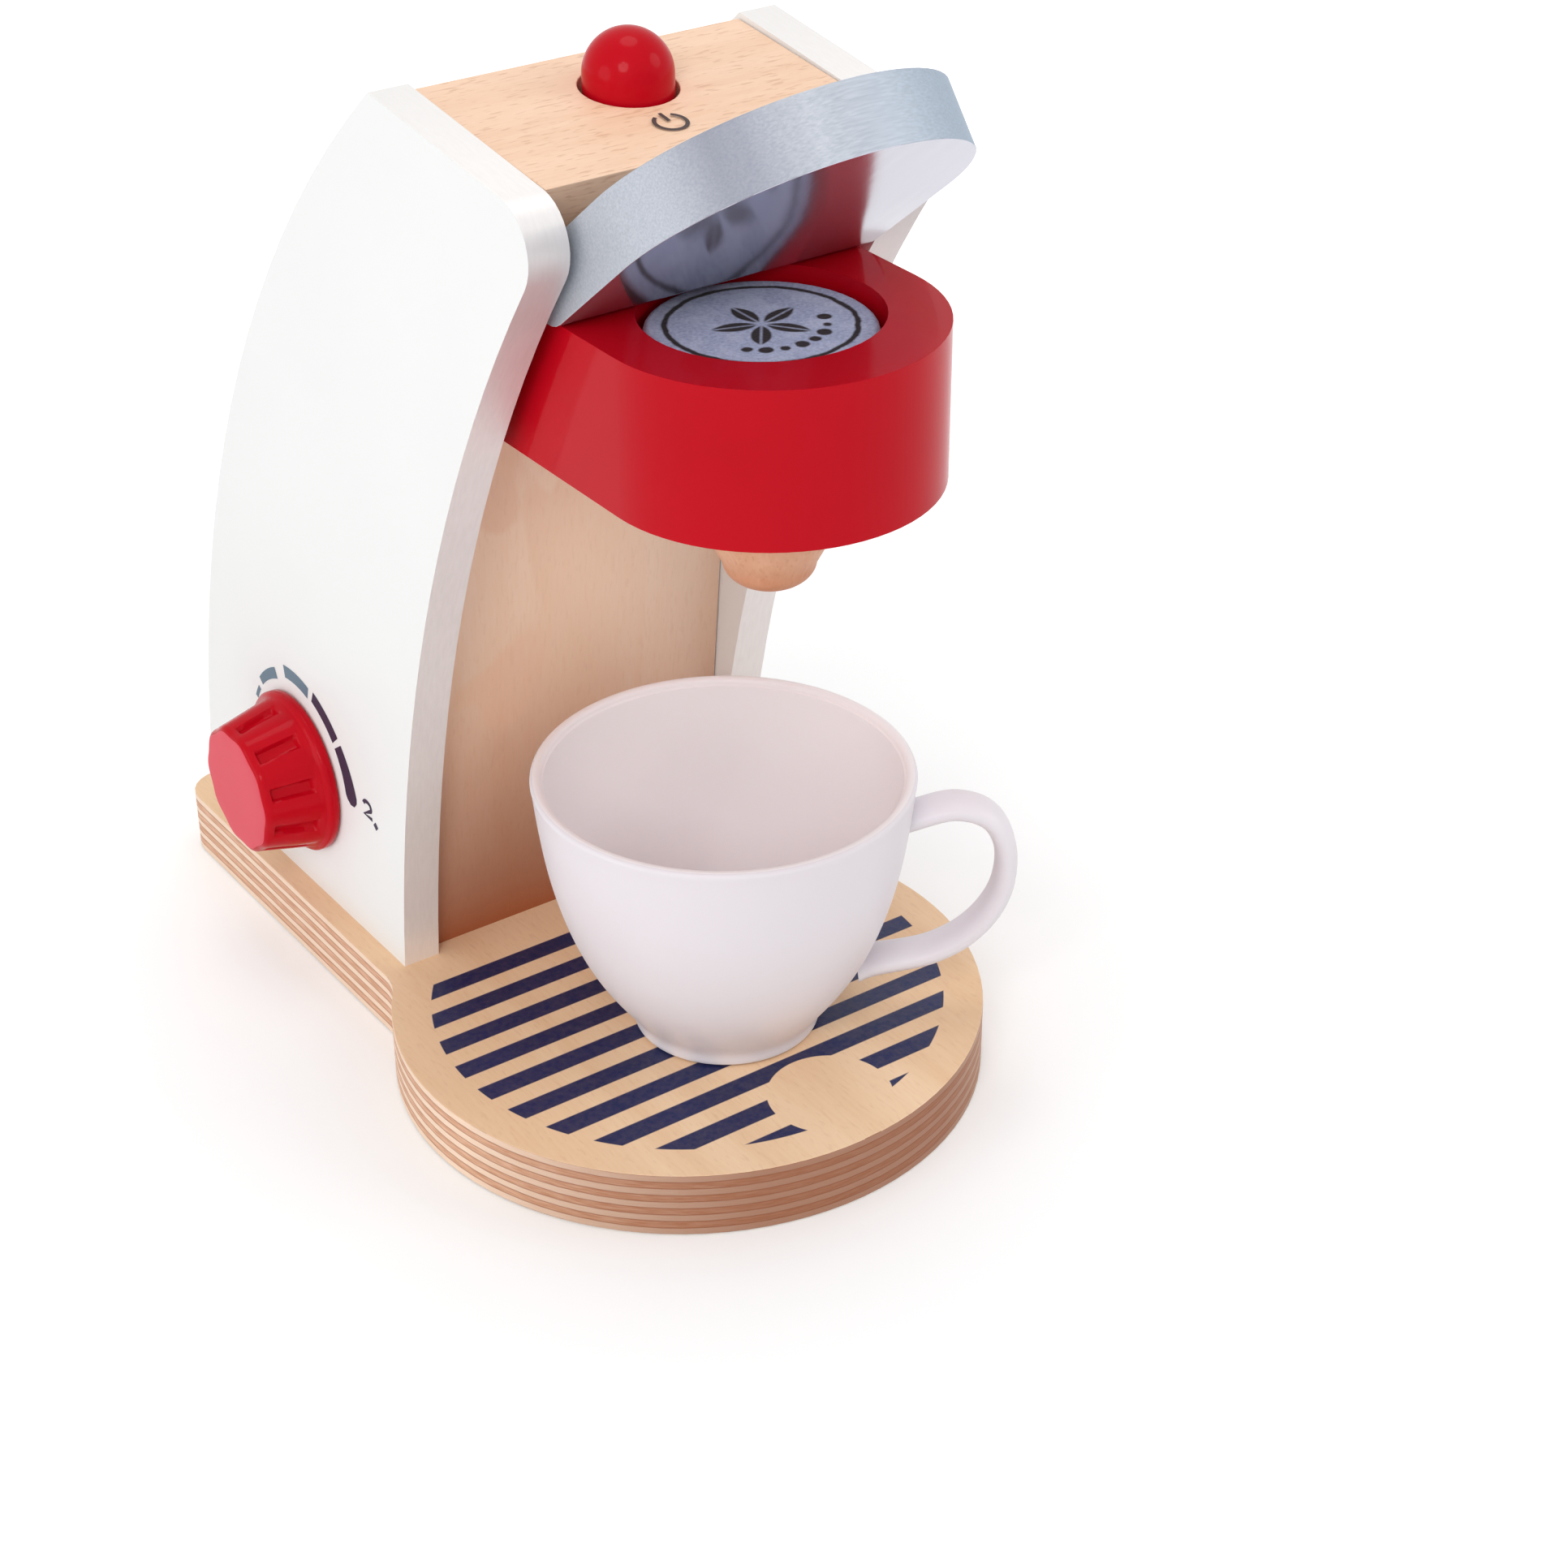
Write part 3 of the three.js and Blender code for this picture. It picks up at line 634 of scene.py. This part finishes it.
def finish_node(node, materials, choose=None, width=0.6, segments=3):
    """Gives a CAD node its finishes, joined points and slightly rounded edges."""
    obj = NODES[node]
    mesh = obj.data
    mesh.materials.clear()
    for material in materials:
        mesh.materials.append(material)
    if "custom_normal" in mesh.attributes:
        mesh.attributes.remove(mesh.attributes["custom_normal"])
    for face in mesh.polygons:
        face.use_smooth = True
        face.material_index = choose(face.normal) if choose else 0
    weld = obj.modifiers.new("join_points", "WELD")
    weld.merge_threshold = JOIN_DISTANCE * MM
    flat = obj.modifiers.new("flat_faces", "DECIMATE")
    flat.decimate_type = "DISSOLVE"
    flat.angle_limit = FLAT_ANGLE
    flat.delimit = {"MATERIAL"}
    bevel = obj.modifiers.new("round_edges", "BEVEL")
    bevel.width = width * MM
    bevel.segments = segments
    bevel.limit_method = "ANGLE"
    bevel.angle_limit = ROUNDED_ANGLE
    bevel.harden_normals = True


def face_or_edge(normal):
    """The base's first finish on its faces and the second on its sawn edge."""
    return 0 if abs(normal.z) > MOSTLY_TOWARD else 1


def side_or_edge(normal):
    """A panel's first finish on its broad sides and the second on its narrow edge."""
    return 0 if abs(normal.x) > MOSTLY_TOWARD else 1


def top_underside_or_rim(normal):
    """The lid's finishes in turn on its top, its underside and its rim, as it stands open."""
    down = -normal.y * math.sin(LID_REST) - normal.z * math.cos(LID_REST)
    if down > TOWARD:
        return 1
    return 0 if down < -TOWARD else 2


def dress_nodes(finishes):
    finish_node("base_board", [finishes["face"], finishes["edge"]], face_or_edge, width=0.9)
    for node in ("left_side_panel", "right_side_panel"):
        finish_node(node, [finishes["white"], finishes["silver_paint"]], side_or_edge, width=0.7)
    finish_node("front_board", [finishes["board"]], width=0.4)
    finish_node("rear_cover", [finishes["beech_up"]], width=0.4)
    finish_node("top_block", [finishes["beech_across"]], width=0.4)
    finish_node("brew_head", [finishes["red"]], width=1.1, segments=4)
    foils = [finishes["foil"], finishes["mirror"], finishes["rim_foil"]]
    finish_node("lid", foils, top_underside_or_rim)
    finish_node("capsule", [finishes["felt"]], width=0.4)
    metal = ("base_screw", "head_screw", "hinge_pin", "button_retainer", "dial_washer")
    for node in NODES:
        if node.startswith(metal):
            finish_node(node, [finishes["steel"]], width=0.1, segments=1)
    for node in ("top_dowel_left", "top_dowel_right", "dial_axle"):
        finish_node(node, [finishes["beech_across"]], width=0.2, segments=1)


# The spout. Outlines are (radius, height) in millimetres, with heights from the head's underside

SPOUT_LENGTH = 22.0
SPOUT_TIP_RADIUS = 8.5
SPOUT_TIP_HEIGHT = 5.0
SPOUT_TIP_ANGLES = range(84, -1, -7)
SPOUT_FLANK = ((8.5, -17), (11.2, -11.5), (13.1, -5.5), (13.9, -1.6))
SPOUT_FLANK_STEPS = 14
SPOUT_SEAT = [(13.9, -0.9), (13.7, -0.5), (13.3, -0.35)]
SPOUT_TENON = [(5, -0.35), (5, 10), (0, 10)]
SPOUT_SHADE_REACH = (HEAD_BOTTOM - 13, HEAD_BOTTOM - SPOUT_LENGTH)
SPOUT_SHADE_SHARE = 0.75


def spout_beech():
    """Beech turned to a nub, with painted shade that deepens it toward its tip."""
    graph = Graph("beech_nub", roughness=0.5, coat=0.1, coat_roughness=0.3, specular=0.3)
    z = graph.axes()["Z"]
    tone, height = grain(graph, linear(236, 186, 154), linear(214, 152, 116), ALONG_Z, flecks=0.3)
    # Painted shade, darker and more orange toward the tip
    deep = graph.times(graph.between(z, *SPOUT_SHADE_REACH), SPOUT_SHADE_SHARE)
    graph.bump(height, WOOD_RELIEF)
    return graph.colour(graph.mix(deep, tone, linear(178, 96, 44)))


def spout(material):
    place = (0.0, HEAD_CENTRE, HEAD_BOTTOM)
    tip_top = SPOUT_TIP_HEIGHT - SPOUT_LENGTH
    tip = []
    for degrees in SPOUT_TIP_ANGLES:
        angle = math.radians(degrees)
        tip.append((SPOUT_TIP_RADIUS * math.cos(angle), tip_top - SPOUT_TIP_HEIGHT * math.sin(angle)))
    flank = [tuple(p) for p in spline(SPOUT_FLANK, SPOUT_FLANK_STEPS)[1:]]
    outline = [(0, -SPOUT_LENGTH)] + tip + flank + SPOUT_SEAT + SPOUT_TENON
    made = lathe("spout_turned", outline, material, place)
    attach(made, "machine")
    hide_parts("spout")


# The button, its spring and the power sign beside it

BUTTON_PLACE = (0.0, 13.0, 0.0)
BUTTON_RADIUS = 8.2
BUTTON_RISE = 1.7
BUTTON_SKIRT = 196.0
SKIRT_CHAMFER = 0.4
STEM_RADIUS = 3.0
STEM_BOTTOM = 177.5
STEM_CHAMFER = 0.3


def top_height(y):
    """Height of the top block's sloping top at y."""
    return TOP_REAR[1] + TOP_SLOPE * (y - TOP_REAR[0])


def button(material):
    dome = top_height(BUTTON_PLACE[1]) + BUTTON_RISE
    stem = [
        (0, STEM_BOTTOM),
        (STEM_RADIUS - STEM_CHAMFER, STEM_BOTTOM),
        (STEM_RADIUS, STEM_BOTTOM + STEM_CHAMFER),
        (STEM_RADIUS, BUTTON_SKIRT),
    ]
    skirt = [(BUTTON_RADIUS - SKIRT_CHAMFER, BUTTON_SKIRT), (BUTTON_RADIUS, BUTTON_SKIRT + SKIRT_CHAMFER)]
    cap = arc((0, dome), BUTTON_RADIUS, start=0, end=90, steps=32)[:-1] + [(0, dome + BUTTON_RADIUS)]
    made = lathe("button_dome", stem + skirt + cap, material, BUTTON_PLACE)
    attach(made, "button_body")
    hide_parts("power_button")


SPRING_ENDS = (187.75, 195.25)
SPRING_RADIUS = 5.2
SPRING_WIRE = 0.9
SPRING_TURNS = 5
SPRING_STEPS = 140
SPRING_SIDES = 10


def spring(material):
    """The coil under the button, drawn at one length; the real coil shortens as the button goes down."""
    bottom, top = SPRING_ENDS
    vertices = []
    rings = []
    for i in range(SPRING_STEPS + 1):
        share = i / SPRING_STEPS
        angle = share * SPRING_TURNS * TURN
        outward = Vector((math.cos(angle), math.sin(angle), 0))
        level = Vector((0, 0, bottom + (top - bottom) * share))
        centre = Vector(BUTTON_PLACE) + outward * SPRING_RADIUS + level
        rings.append(list(range(len(vertices), len(vertices) + SPRING_SIDES)))
        for k in range(SPRING_SIDES):
            side = k / SPRING_SIDES * TURN
            across = outward * math.cos(side) + Vector((0, 0, math.sin(side)))
            vertices.append(centre + across * SPRING_WIRE / 2)
    faces = [tuple(rings[0]), tuple(rings[-1])] + bridge(rings, SPRING_SIDES)
    made = mesh_object("return_spring", vertices, faces, material)
    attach(made, "machine")
    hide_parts("button_spring")
    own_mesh(made)


def ribbon(points, widths):
    """A flat strip's vertices and faces along 2D points, with a width at each point."""
    vertices = []
    faces = []
    for i, (point, width) in enumerate(zip(points, widths)):
        before = Vector(points[max(i - 1, 0)])
        after = Vector(points[min(i + 1, len(points) - 1)])
        along = (after - before).normalized()
        side = Vector((-along[1], along[0])) * width / 2
        vertices += [Vector(point) + side, Vector(point) - side]
        if i:
            faces.append((2 * i - 2, 2 * i, 2 * i + 1, 2 * i - 1))
    return vertices, faces


def print_piece(name, strips, place, material):
    """Thin printed strips joined in one mesh. place puts their 2D points on the object."""
    vertices = []
    faces = []
    for points, widths in strips:
        flat, quads = ribbon(points, widths)
        start = len(vertices)
        vertices += [place(p) for p in flat]
        faces += [tuple(start + i for i in quad) for quad in quads]
    made = mesh_object(name, vertices, faces, material)
    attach(made, "machine")


SIGN_CENTRE = (-2.0, -3.2)
SIGN_RADIUS = 2.9
SIGN_LINE = 0.75
SIGN_RING_ANGLES = (122, 418)
SIGN_RING_STEPS = 40
SIGN_BAR = [(0, 0.4), (0, 3.6)]


def power_sign(material):
    def place(point):
        y = SIGN_CENTRE[1] + point[1]
        return Vector((SIGN_CENTRE[0] + point[0], y, top_height(y) + PRINT_LIFT))

    ring = arc((0, 0), SIGN_RADIUS, *SIGN_RING_ANGLES, SIGN_RING_STEPS)
    strips = [(line, [SIGN_LINE] * len(line)) for line in (ring, SIGN_BAR)]
    print_piece("power_sign", strips, place, material)


# The dial's print on the panel. A dash is (start, end, radius, first width, last width). The numeral
# is a hook with a straight end, and a point after it

DASHES = ((154, 144, 20.4, 1.1, 1.1), (138, 112, 20.9, 1.9, 2.6), (100, 73, 22.0, 2.9, 2.9),
          (68.5, 41, 22.7, 2.9, 3.3), (37.5, 5, 22.7, 3.5, 5.0))
DASH_STEPS = 12
DARK_DASHES_FROM = 3
LAST_DASH_TIP = [4.0, 1.6]
HOOK_CENTRE = (29.2, 5.2)
HOOK_RADIUS = 1.15
HOOK_STRETCH = 1.35
HOOK_ANGLES = (170, -30)
HOOK_STEPS = 12
HOOK_END = [(27.6, 2.9), (31.0, 2.9)]
HOOK_LINE = 0.95
POINT = [(31.8, 2.5), (32.8, 1.5)]
POINT_LINE = 1.4


def dial_print(pale, dark):
    def place(point):
        return Vector((PANEL_OUTSIDE - PRINT_LIFT, DIAL_CENTRE[0] - point[0], DIAL_CENTRE[1] + point[1]))

    for index, (start, end, radius, first, last) in enumerate(DASHES):
        points = arc((0, 0), radius, start, end, DASH_STEPS)
        widths = [first + (last - first) * i / DASH_STEPS for i in range(DASH_STEPS + 1)]
        if index == len(DASHES) - 1:
            widths[-2:] = LAST_DASH_TIP
        tone = dark if index >= DARK_DASHES_FROM else pale
        print_piece(f"dial_mark_{index + 1}", [(points, widths)], place, tone)

    curl = arc((0, 0), HOOK_RADIUS, *HOOK_ANGLES, HOOK_STEPS)
    hook = [(HOOK_CENTRE[0] + HOOK_STRETCH * x, HOOK_CENTRE[1] + y) for x, y in curl] + HOOK_END
    strips = [(hook, [HOOK_LINE] * len(hook)), (POINT, [POINT_LINE] * len(POINT))]
    print_piece("dial_numeral", strips, place, dark)


# The knob. Heights are measured out from the panel, in millimetres

KNOB_GAP = 0.3
KNOB_BARS = 10
KNOB_SIDES = 240
KNOB_COLLAR = [(0, 0), (17.1, 0), (17.5, 0.4), (17.5, 1.9), (17.1, 2.4), (16.6, 2.6)]
KNOB_FLANK_START = (16.5, 2.8)
KNOB_FLANK_RUN = (-2.5, 10.7)
KNOB_FLANK_STEPS = 30
KNOB_CROWN_CENTRE = (12.4, 13.4)
KNOB_CROWN_RADIUS = 1.6
KNOB_FACE = [(9, 15), (4, 15), (0, 15)]
GRIP_INSIDE = 12.0
LOBE_DEPTH = 0.5
LOBE_START = 3.0
BAR_HALF_WIDTH = 1.6
BAR_DEPTH = 1.25
BAR_ENDS = (4.0, 13.2)
BAR_SIDE_SLOPE = 0.45
END_SLOPE = 0.6


def smooth_step(value):
    value = min(1.0, max(0.0, value))
    return value * value * (3 - 2 * value)


def grip_radius(radius, height, angle):
    """Radius of the grip, with ten shallow lobes and a sunk bar in the middle of each."""
    phase = (angle / TURN * KNOB_BARS) % 1 - 0.5
    across = abs(phase) * TURN / KNOB_BARS * radius
    on_flank = smooth_step((height - LOBE_START) / END_SLOPE)
    lobe = LOBE_DEPTH * (0.5 + 0.5 * math.cos(phase * TURN)) * on_flank
    above = smooth_step((height - BAR_ENDS[0]) / END_SLOPE)
    below = smooth_step((BAR_ENDS[1] - height) / END_SLOPE)
    bar = BAR_DEPTH * smooth_step((BAR_HALF_WIDTH - across) / BAR_SIDE_SLOPE) * above * below
    return radius - lobe - bar


def knob_outline():
    flank = []
    for i in range(KNOB_FLANK_STEPS + 1):
        share = i / KNOB_FLANK_STEPS
        radius = KNOB_FLANK_START[0] + KNOB_FLANK_RUN[0] * share
        flank.append((radius, KNOB_FLANK_START[1] + KNOB_FLANK_RUN[1] * share))
    crown = arc(KNOB_CROWN_CENTRE, KNOB_CROWN_RADIUS, start=10, end=90, steps=8)
    return KNOB_COLLAR + flank + crown + KNOB_FACE


def knob(material, face_material):
    base = Vector((PANEL_OUTSIDE - KNOB_GAP, DIAL_CENTRE[0], DIAL_CENTRE[1]))
    vertices = []
    rings = []
    for radius, height in knob_outline():
        start = len(vertices)
        if radius == 0:
            rings.append([start])
            vertices.append(base + Vector((-height, 0, 0)))
            continue
        for i in range(KNOB_SIDES):
            angle = i / KNOB_SIDES * TURN
            reach = grip_radius(radius, height, angle) if radius > GRIP_INSIDE else radius
            vertices.append(base + Vector((-height, reach * math.cos(angle), reach * math.sin(angle))))
        rings.append(list(range(start, start + KNOB_SIDES)))
    made = mesh_object("dial_grip", vertices, bridge(rings, KNOB_SIDES), material, smooth_angle=50)
    made.data.materials.append(face_material)
    for face in made.data.polygons:
        # The end face gets the paler red, a painted reflection
        face.material_index = 1 if face.normal.x < -STRAIGHT_TOWARD else 0
    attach(made, "dial_body")
    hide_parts("dial_knob")


# The cup. Shares are of the rim radius and of the height

CUP_PLACE = (2.0, -11.0, 14.3)
CUP_RIM = 37.2
CUP_HEIGHT = 57.0
CUP_WALL = 2.2
CUP_SHARES = ((0.497, 0), (0.505, 0.05), (0.58, 0.12), (0.665, 0.2), (0.745, 0.29), (0.82, 0.4),
              (0.885, 0.53), (0.935, 0.67), (0.972, 0.83), (1, 1))
CUP_STEPS = 48
CUP_SIDES = 144
CUP_FOOT = [(0, 1.0), (14.5, 1.0), (15.5, 0.4), (16.4, 0.0), (18.0, 0.0), (18.4, 0.3)]
CUP_FLOOR = [(12.0, 2 * CUP_WALL), (0, 2 * CUP_WALL)]
LINING_START = 3.2 * CUP_WALL
LINING_END = CUP_HEIGHT - 0.6
FOOT_FINISH_HEIGHT = 3.0
CUTTER_SIDES = 72
CUTTER_BOTTOM = 5.0
CUTTER_WALL_FROM = 4.0
CUTTER_TOP = 70.0
HANDLE_SHARES = ((0.9, 0.79), (0.98, 0.8), (1.2, 0.835), (1.385, 0.79), (1.475, 0.66), (1.455, 0.49),
                 (1.32, 0.345), (1.1, 0.25), (0.8, 0.21), (0.7, 0.2))
HANDLE_STEPS = 60
HANDLE_TURN = -33.0
HANDLE_WIDTH = 9.0
HANDLE_THICKNESS = 4.4
HANDLE_SIDES = 28
HANDLE_SQUARENESS = 0.8
HANDLE_FLARE = 0.45
TOP_FLARE_SHARE = 0.16
LOW_FLARE_SHARE = 0.2
HANDLE_SMOOTH_ANGLE = 60


def cup_wall():
    return [tuple(p) for p in spline([(r * CUP_RIM, z * CUP_HEIGHT) for r, z in CUP_SHARES], CUP_STEPS)]


def cup_outline():
    """The cup's whole section, from the middle of its foot over the rim to the middle of its floor."""
    half_wall = CUP_WALL / 2
    outer = cup_wall()
    inner = [(r - CUP_WALL, z + CUP_WALL) for r, z in outer]
    inner = [p for p in inner if LINING_START < p[1] < LINING_END]
    rim = arc((CUP_RIM - half_wall, CUP_HEIGHT - half_wall), half_wall, start=0, end=180, steps=12)
    below_rim = [p for p in outer if p[1] < CUP_HEIGHT - half_wall]
    return CUP_FOOT + below_rim[1:] + rim + inner[::-1] + CUP_FLOOR


def handle_mesh(material):
    turn = Matrix.Rotation(math.radians(HANDLE_TURN), 3, "Z")
    path = spline([(r * CUP_RIM, z * CUP_HEIGHT) for r, z in HANDLE_SHARES], HANDLE_STEPS)
    vertices = []
    rings = []
    for i, point in enumerate(path):
        along = (path[min(i + 1, len(path) - 1)] - path[max(i - 1, 0)]).normalized()
        out = Vector((-along[1], along[0]))
        share = i / (len(path) - 1)
        at_top = max(0, 1 - share / TOP_FLARE_SHARE) ** 2
        at_foot = max(0, 1 - (1 - share) / LOW_FLARE_SHARE) ** 2
        half_width = HANDLE_WIDTH / 2 * (1 + HANDLE_FLARE * (at_top + at_foot))
        rings.append(list(range(len(vertices), len(vertices) + HANDLE_SIDES)))
        for k in range(HANDLE_SIDES):
            angle = k / HANDLE_SIDES * TURN
            wide = math.copysign(abs(math.cos(angle)) ** HANDLE_SQUARENESS, math.cos(angle)) * half_width
            thick = HANDLE_THICKNESS / 2 * math.sin(angle)
            local = Vector((point[0] + out[0] * thick, wide, point[1] + out[1] * thick))
            vertices.append(turn @ local + Vector(CUP_PLACE))
    faces = [tuple(rings[0]), tuple(rings[-1])] + bridge(rings, HANDLE_SIDES)
    return mesh_object("cup_handle", vertices, faces, material, HANDLE_SMOOTH_ANGLE)


def cut_at_wall(handle, material):
    """Cuts off what of the handle would show inside the cup, along the middle of its wall."""
    half_wall = CUP_WALL / 2
    wall = [(r - half_wall, z) for r, z in cup_wall() if z > CUTTER_WALL_FROM]
    bore = [(0, CUTTER_BOTTOM)] + wall + [(CUP_RIM - half_wall, CUTTER_TOP), (0, CUTTER_TOP)]
    cutter = lathe("cup_bore", bore, material, CUP_PLACE, sides=CUTTER_SIDES)
    cut = handle.modifiers.new("keep_outside", "BOOLEAN")
    cut.operation = "DIFFERENCE"
    cut.solver = "EXACT"
    cut.object = cutter
    bpy.context.view_layer.objects.active = handle
    bpy.ops.object.modifier_apply(modifier=cut.name)
    bpy.data.objects.remove(cutter)
    shade_smooth(handle, HANDLE_SMOOTH_ANGLE)


def cup(material, inside):
    body = lathe("cup_body", cup_outline(), material, CUP_PLACE, sides=CUP_SIDES)
    handle = handle_mesh(material)
    cut_at_wall(handle, material)
    body.data.materials.append(inside)
    for face in body.data.polygons:
        outward = face.center - Vector(CUP_PLACE) * MM
        faces_in = face.normal.x * outward.x + face.normal.y * outward.y < 0
        faces_up = face.normal.z > TOWARD
        above_foot = outward.z > FOOT_FINISH_HEIGHT * MM
        face.material_index = 1 if (faces_in or faces_up) and above_foot else 0
    for made in (body, handle):
        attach(made, "cup_body")
    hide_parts("cup")


# Floor and lights, in metres and watts. A lamp is (name, place, size, power)

FLOOR_REACH = 4.0
FLOOR_DROP = 0.0003
FLOOR_TONE = 0.84
FLOOR_GLOW = (0.18, 0.6)
GLOW_RADIUS = (0.07, 0.45)
WORLD_LIGHT = 0.56
WORLD_SEEN = 1.0
LAMP_TARGET = Vector((0, 0.02, 0.1))
LAMPS = (
    ("key", (-0.85, -0.8, 0.9), 0.6, 6.1),
    ("left", (-1.3, 0.1, 0.35), 0.8, 3.0),
    ("right", (1.0, -0.75, 0.8), 0.7, 3.0),
    ("top", (0.15, 0.15, 1.4), 0.7, 3.7),
)


def background_rays(tree):
    """1 for rays from the camera, from gloss and through glass, which all show the same background."""
    rays = tree.nodes.new("ShaderNodeLightPath")
    seen = rays.outputs["Is Camera Ray"]
    for kind in ("Is Glossy Ray", "Is Transmission Ray"):
        either = tree.nodes.new("ShaderNodeMath")
        either.operation = "MAXIMUM"
        tree.links.new(seen, either.inputs[0])
        tree.links.new(rays.outputs[kind], either.inputs[1])
        seen = either.outputs[0]
    return seen


def floor_paper():
    """White paper that looks a little brighter than it is lit, more so away from the object."""
    material = bpy.data.materials.new("floor_paper")
    material.use_nodes = True
    tree = material.node_tree
    shader = tree.nodes["Principled BSDF"]
    shader.inputs["Base Color"].default_value = (FLOOR_TONE, FLOOR_TONE, FLOOR_TONE, 1)
    shader.inputs["Roughness"].default_value = 1.0
    shader.inputs["Specular IOR Level"].default_value = 0.0
    shader.inputs["Emission Color"].default_value = (1, 1, 1, 1)
    place = tree.nodes.new("ShaderNodeTexCoord")
    reach = tree.nodes.new("ShaderNodeVectorMath")
    reach.operation = "LENGTH"
    tree.links.new(place.outputs["Object"], reach.inputs[0])
    glow = tree.nodes.new("ShaderNodeMapRange")
    tree.links.new(reach.outputs["Value"], glow.inputs["Value"])
    glow.inputs["From Min"].default_value, glow.inputs["From Max"].default_value = GLOW_RADIUS
    glow.inputs["To Min"].default_value, glow.inputs["To Max"].default_value = FLOOR_GLOW
    strength = tree.nodes.new("ShaderNodeMath")
    strength.operation = "MULTIPLY"
    tree.links.new(glow.outputs[0], strength.inputs[1])
    tree.links.new(background_rays(tree), strength.inputs[0])
    tree.links.new(strength.outputs[0], shader.inputs["Emission Strength"])
    return material


def add_floor():
    """A flat floor that keeps the object's soft shadow."""
    mesh = bpy.data.meshes.new("floor")
    corners = [(-FLOOR_REACH, -FLOOR_REACH, 0), (FLOOR_REACH, -FLOOR_REACH, 0),
               (FLOOR_REACH, FLOOR_REACH, 0), (-FLOOR_REACH, FLOOR_REACH, 0)]
    mesh.from_pydata(corners, [], [(0, 1, 2, 3)])
    mesh.materials.append(floor_paper())
    made = bpy.data.objects.new("floor", mesh)
    made.location.z = -FLOOR_DROP
    bpy.context.scene.collection.objects.link(made)


def add_world():
    """Even studio light. The camera and the gloss see it as plain white."""
    world = bpy.data.worlds.new("studio")
    bpy.context.scene.world = world
    world.use_nodes = True
    tree = world.node_tree
    ground = tree.nodes["Background"]
    ground.inputs["Color"].default_value = (1, 1, 1, 1)
    level = tree.nodes.new("ShaderNodeMapRange")
    tree.links.new(background_rays(tree), level.inputs["Value"])
    level.inputs["To Min"].default_value = WORLD_LIGHT
    level.inputs["To Max"].default_value = WORLD_SEEN
    tree.links.new(level.outputs[0], ground.inputs["Strength"])


def add_lamp(name, place, size, power):
    data = bpy.data.lights.new(name, "AREA")
    data.shape = "DISK"
    data.size = size
    data.energy = power
    lamp = bpy.data.objects.new(name, data)
    lamp.location = place
    lamp.rotation_euler = (LAMP_TARGET - Vector(place)).to_track_quat("-Z", "Y").to_euler()
    bpy.context.scene.collection.objects.link(lamp)


def main():
    bpy.context.scene.view_settings.view_transform = "Standard"
    add_camera()
    finishes = {
        "face": plywood_face(),
        "edge": plywood_edge(),
        "board": board_beech(),
        "beech_up": beech("beech_up", ALONG_Z, linear(240, 206, 172), linear(224, 182, 144)),
        "beech_across": beech("beech_across", ALONG_X, linear(248, 214, 186), linear(234, 190, 156), 0.5),
        "white": white_paint(),
        "silver_paint": silver_paint(),
        "red": red_paint(),
        "foil": silver_foil("silver_foil", shade=0.0),
        "rim_foil": silver_foil("rim_foil", shade=0.75),
        "mirror": lid_mirror(),
        "steel": steel(),
        "felt": capsule_felt(),
    }
    dress_nodes(finishes)
    spout(spout_beech())
    button(finishes["red"])
    spring(finishes["steel"])
    power_sign(ink("ink_brown", linear(58, 38, 32)))
    dial_print(ink("ink_pale", linear(96, 122, 140)), ink("ink_dark", linear(40, 28, 60)))
    knob(finishes["red"], red_face_painted_light())
    outside = cup_plastic("cup_outside", linear(235, 230, 235), linear(229, 222, 228))
    # The inside is a paler copy of the same plastic, painted light, also used on upward faces
    inside = cup_plastic("cup_inside_painted_light", linear(249, 243, 244), linear(245, 238, 240))
    cup(outside, inside)
    add_floor()
    for lamp in LAMPS:
        add_lamp(*lamp)
    add_world()


main()
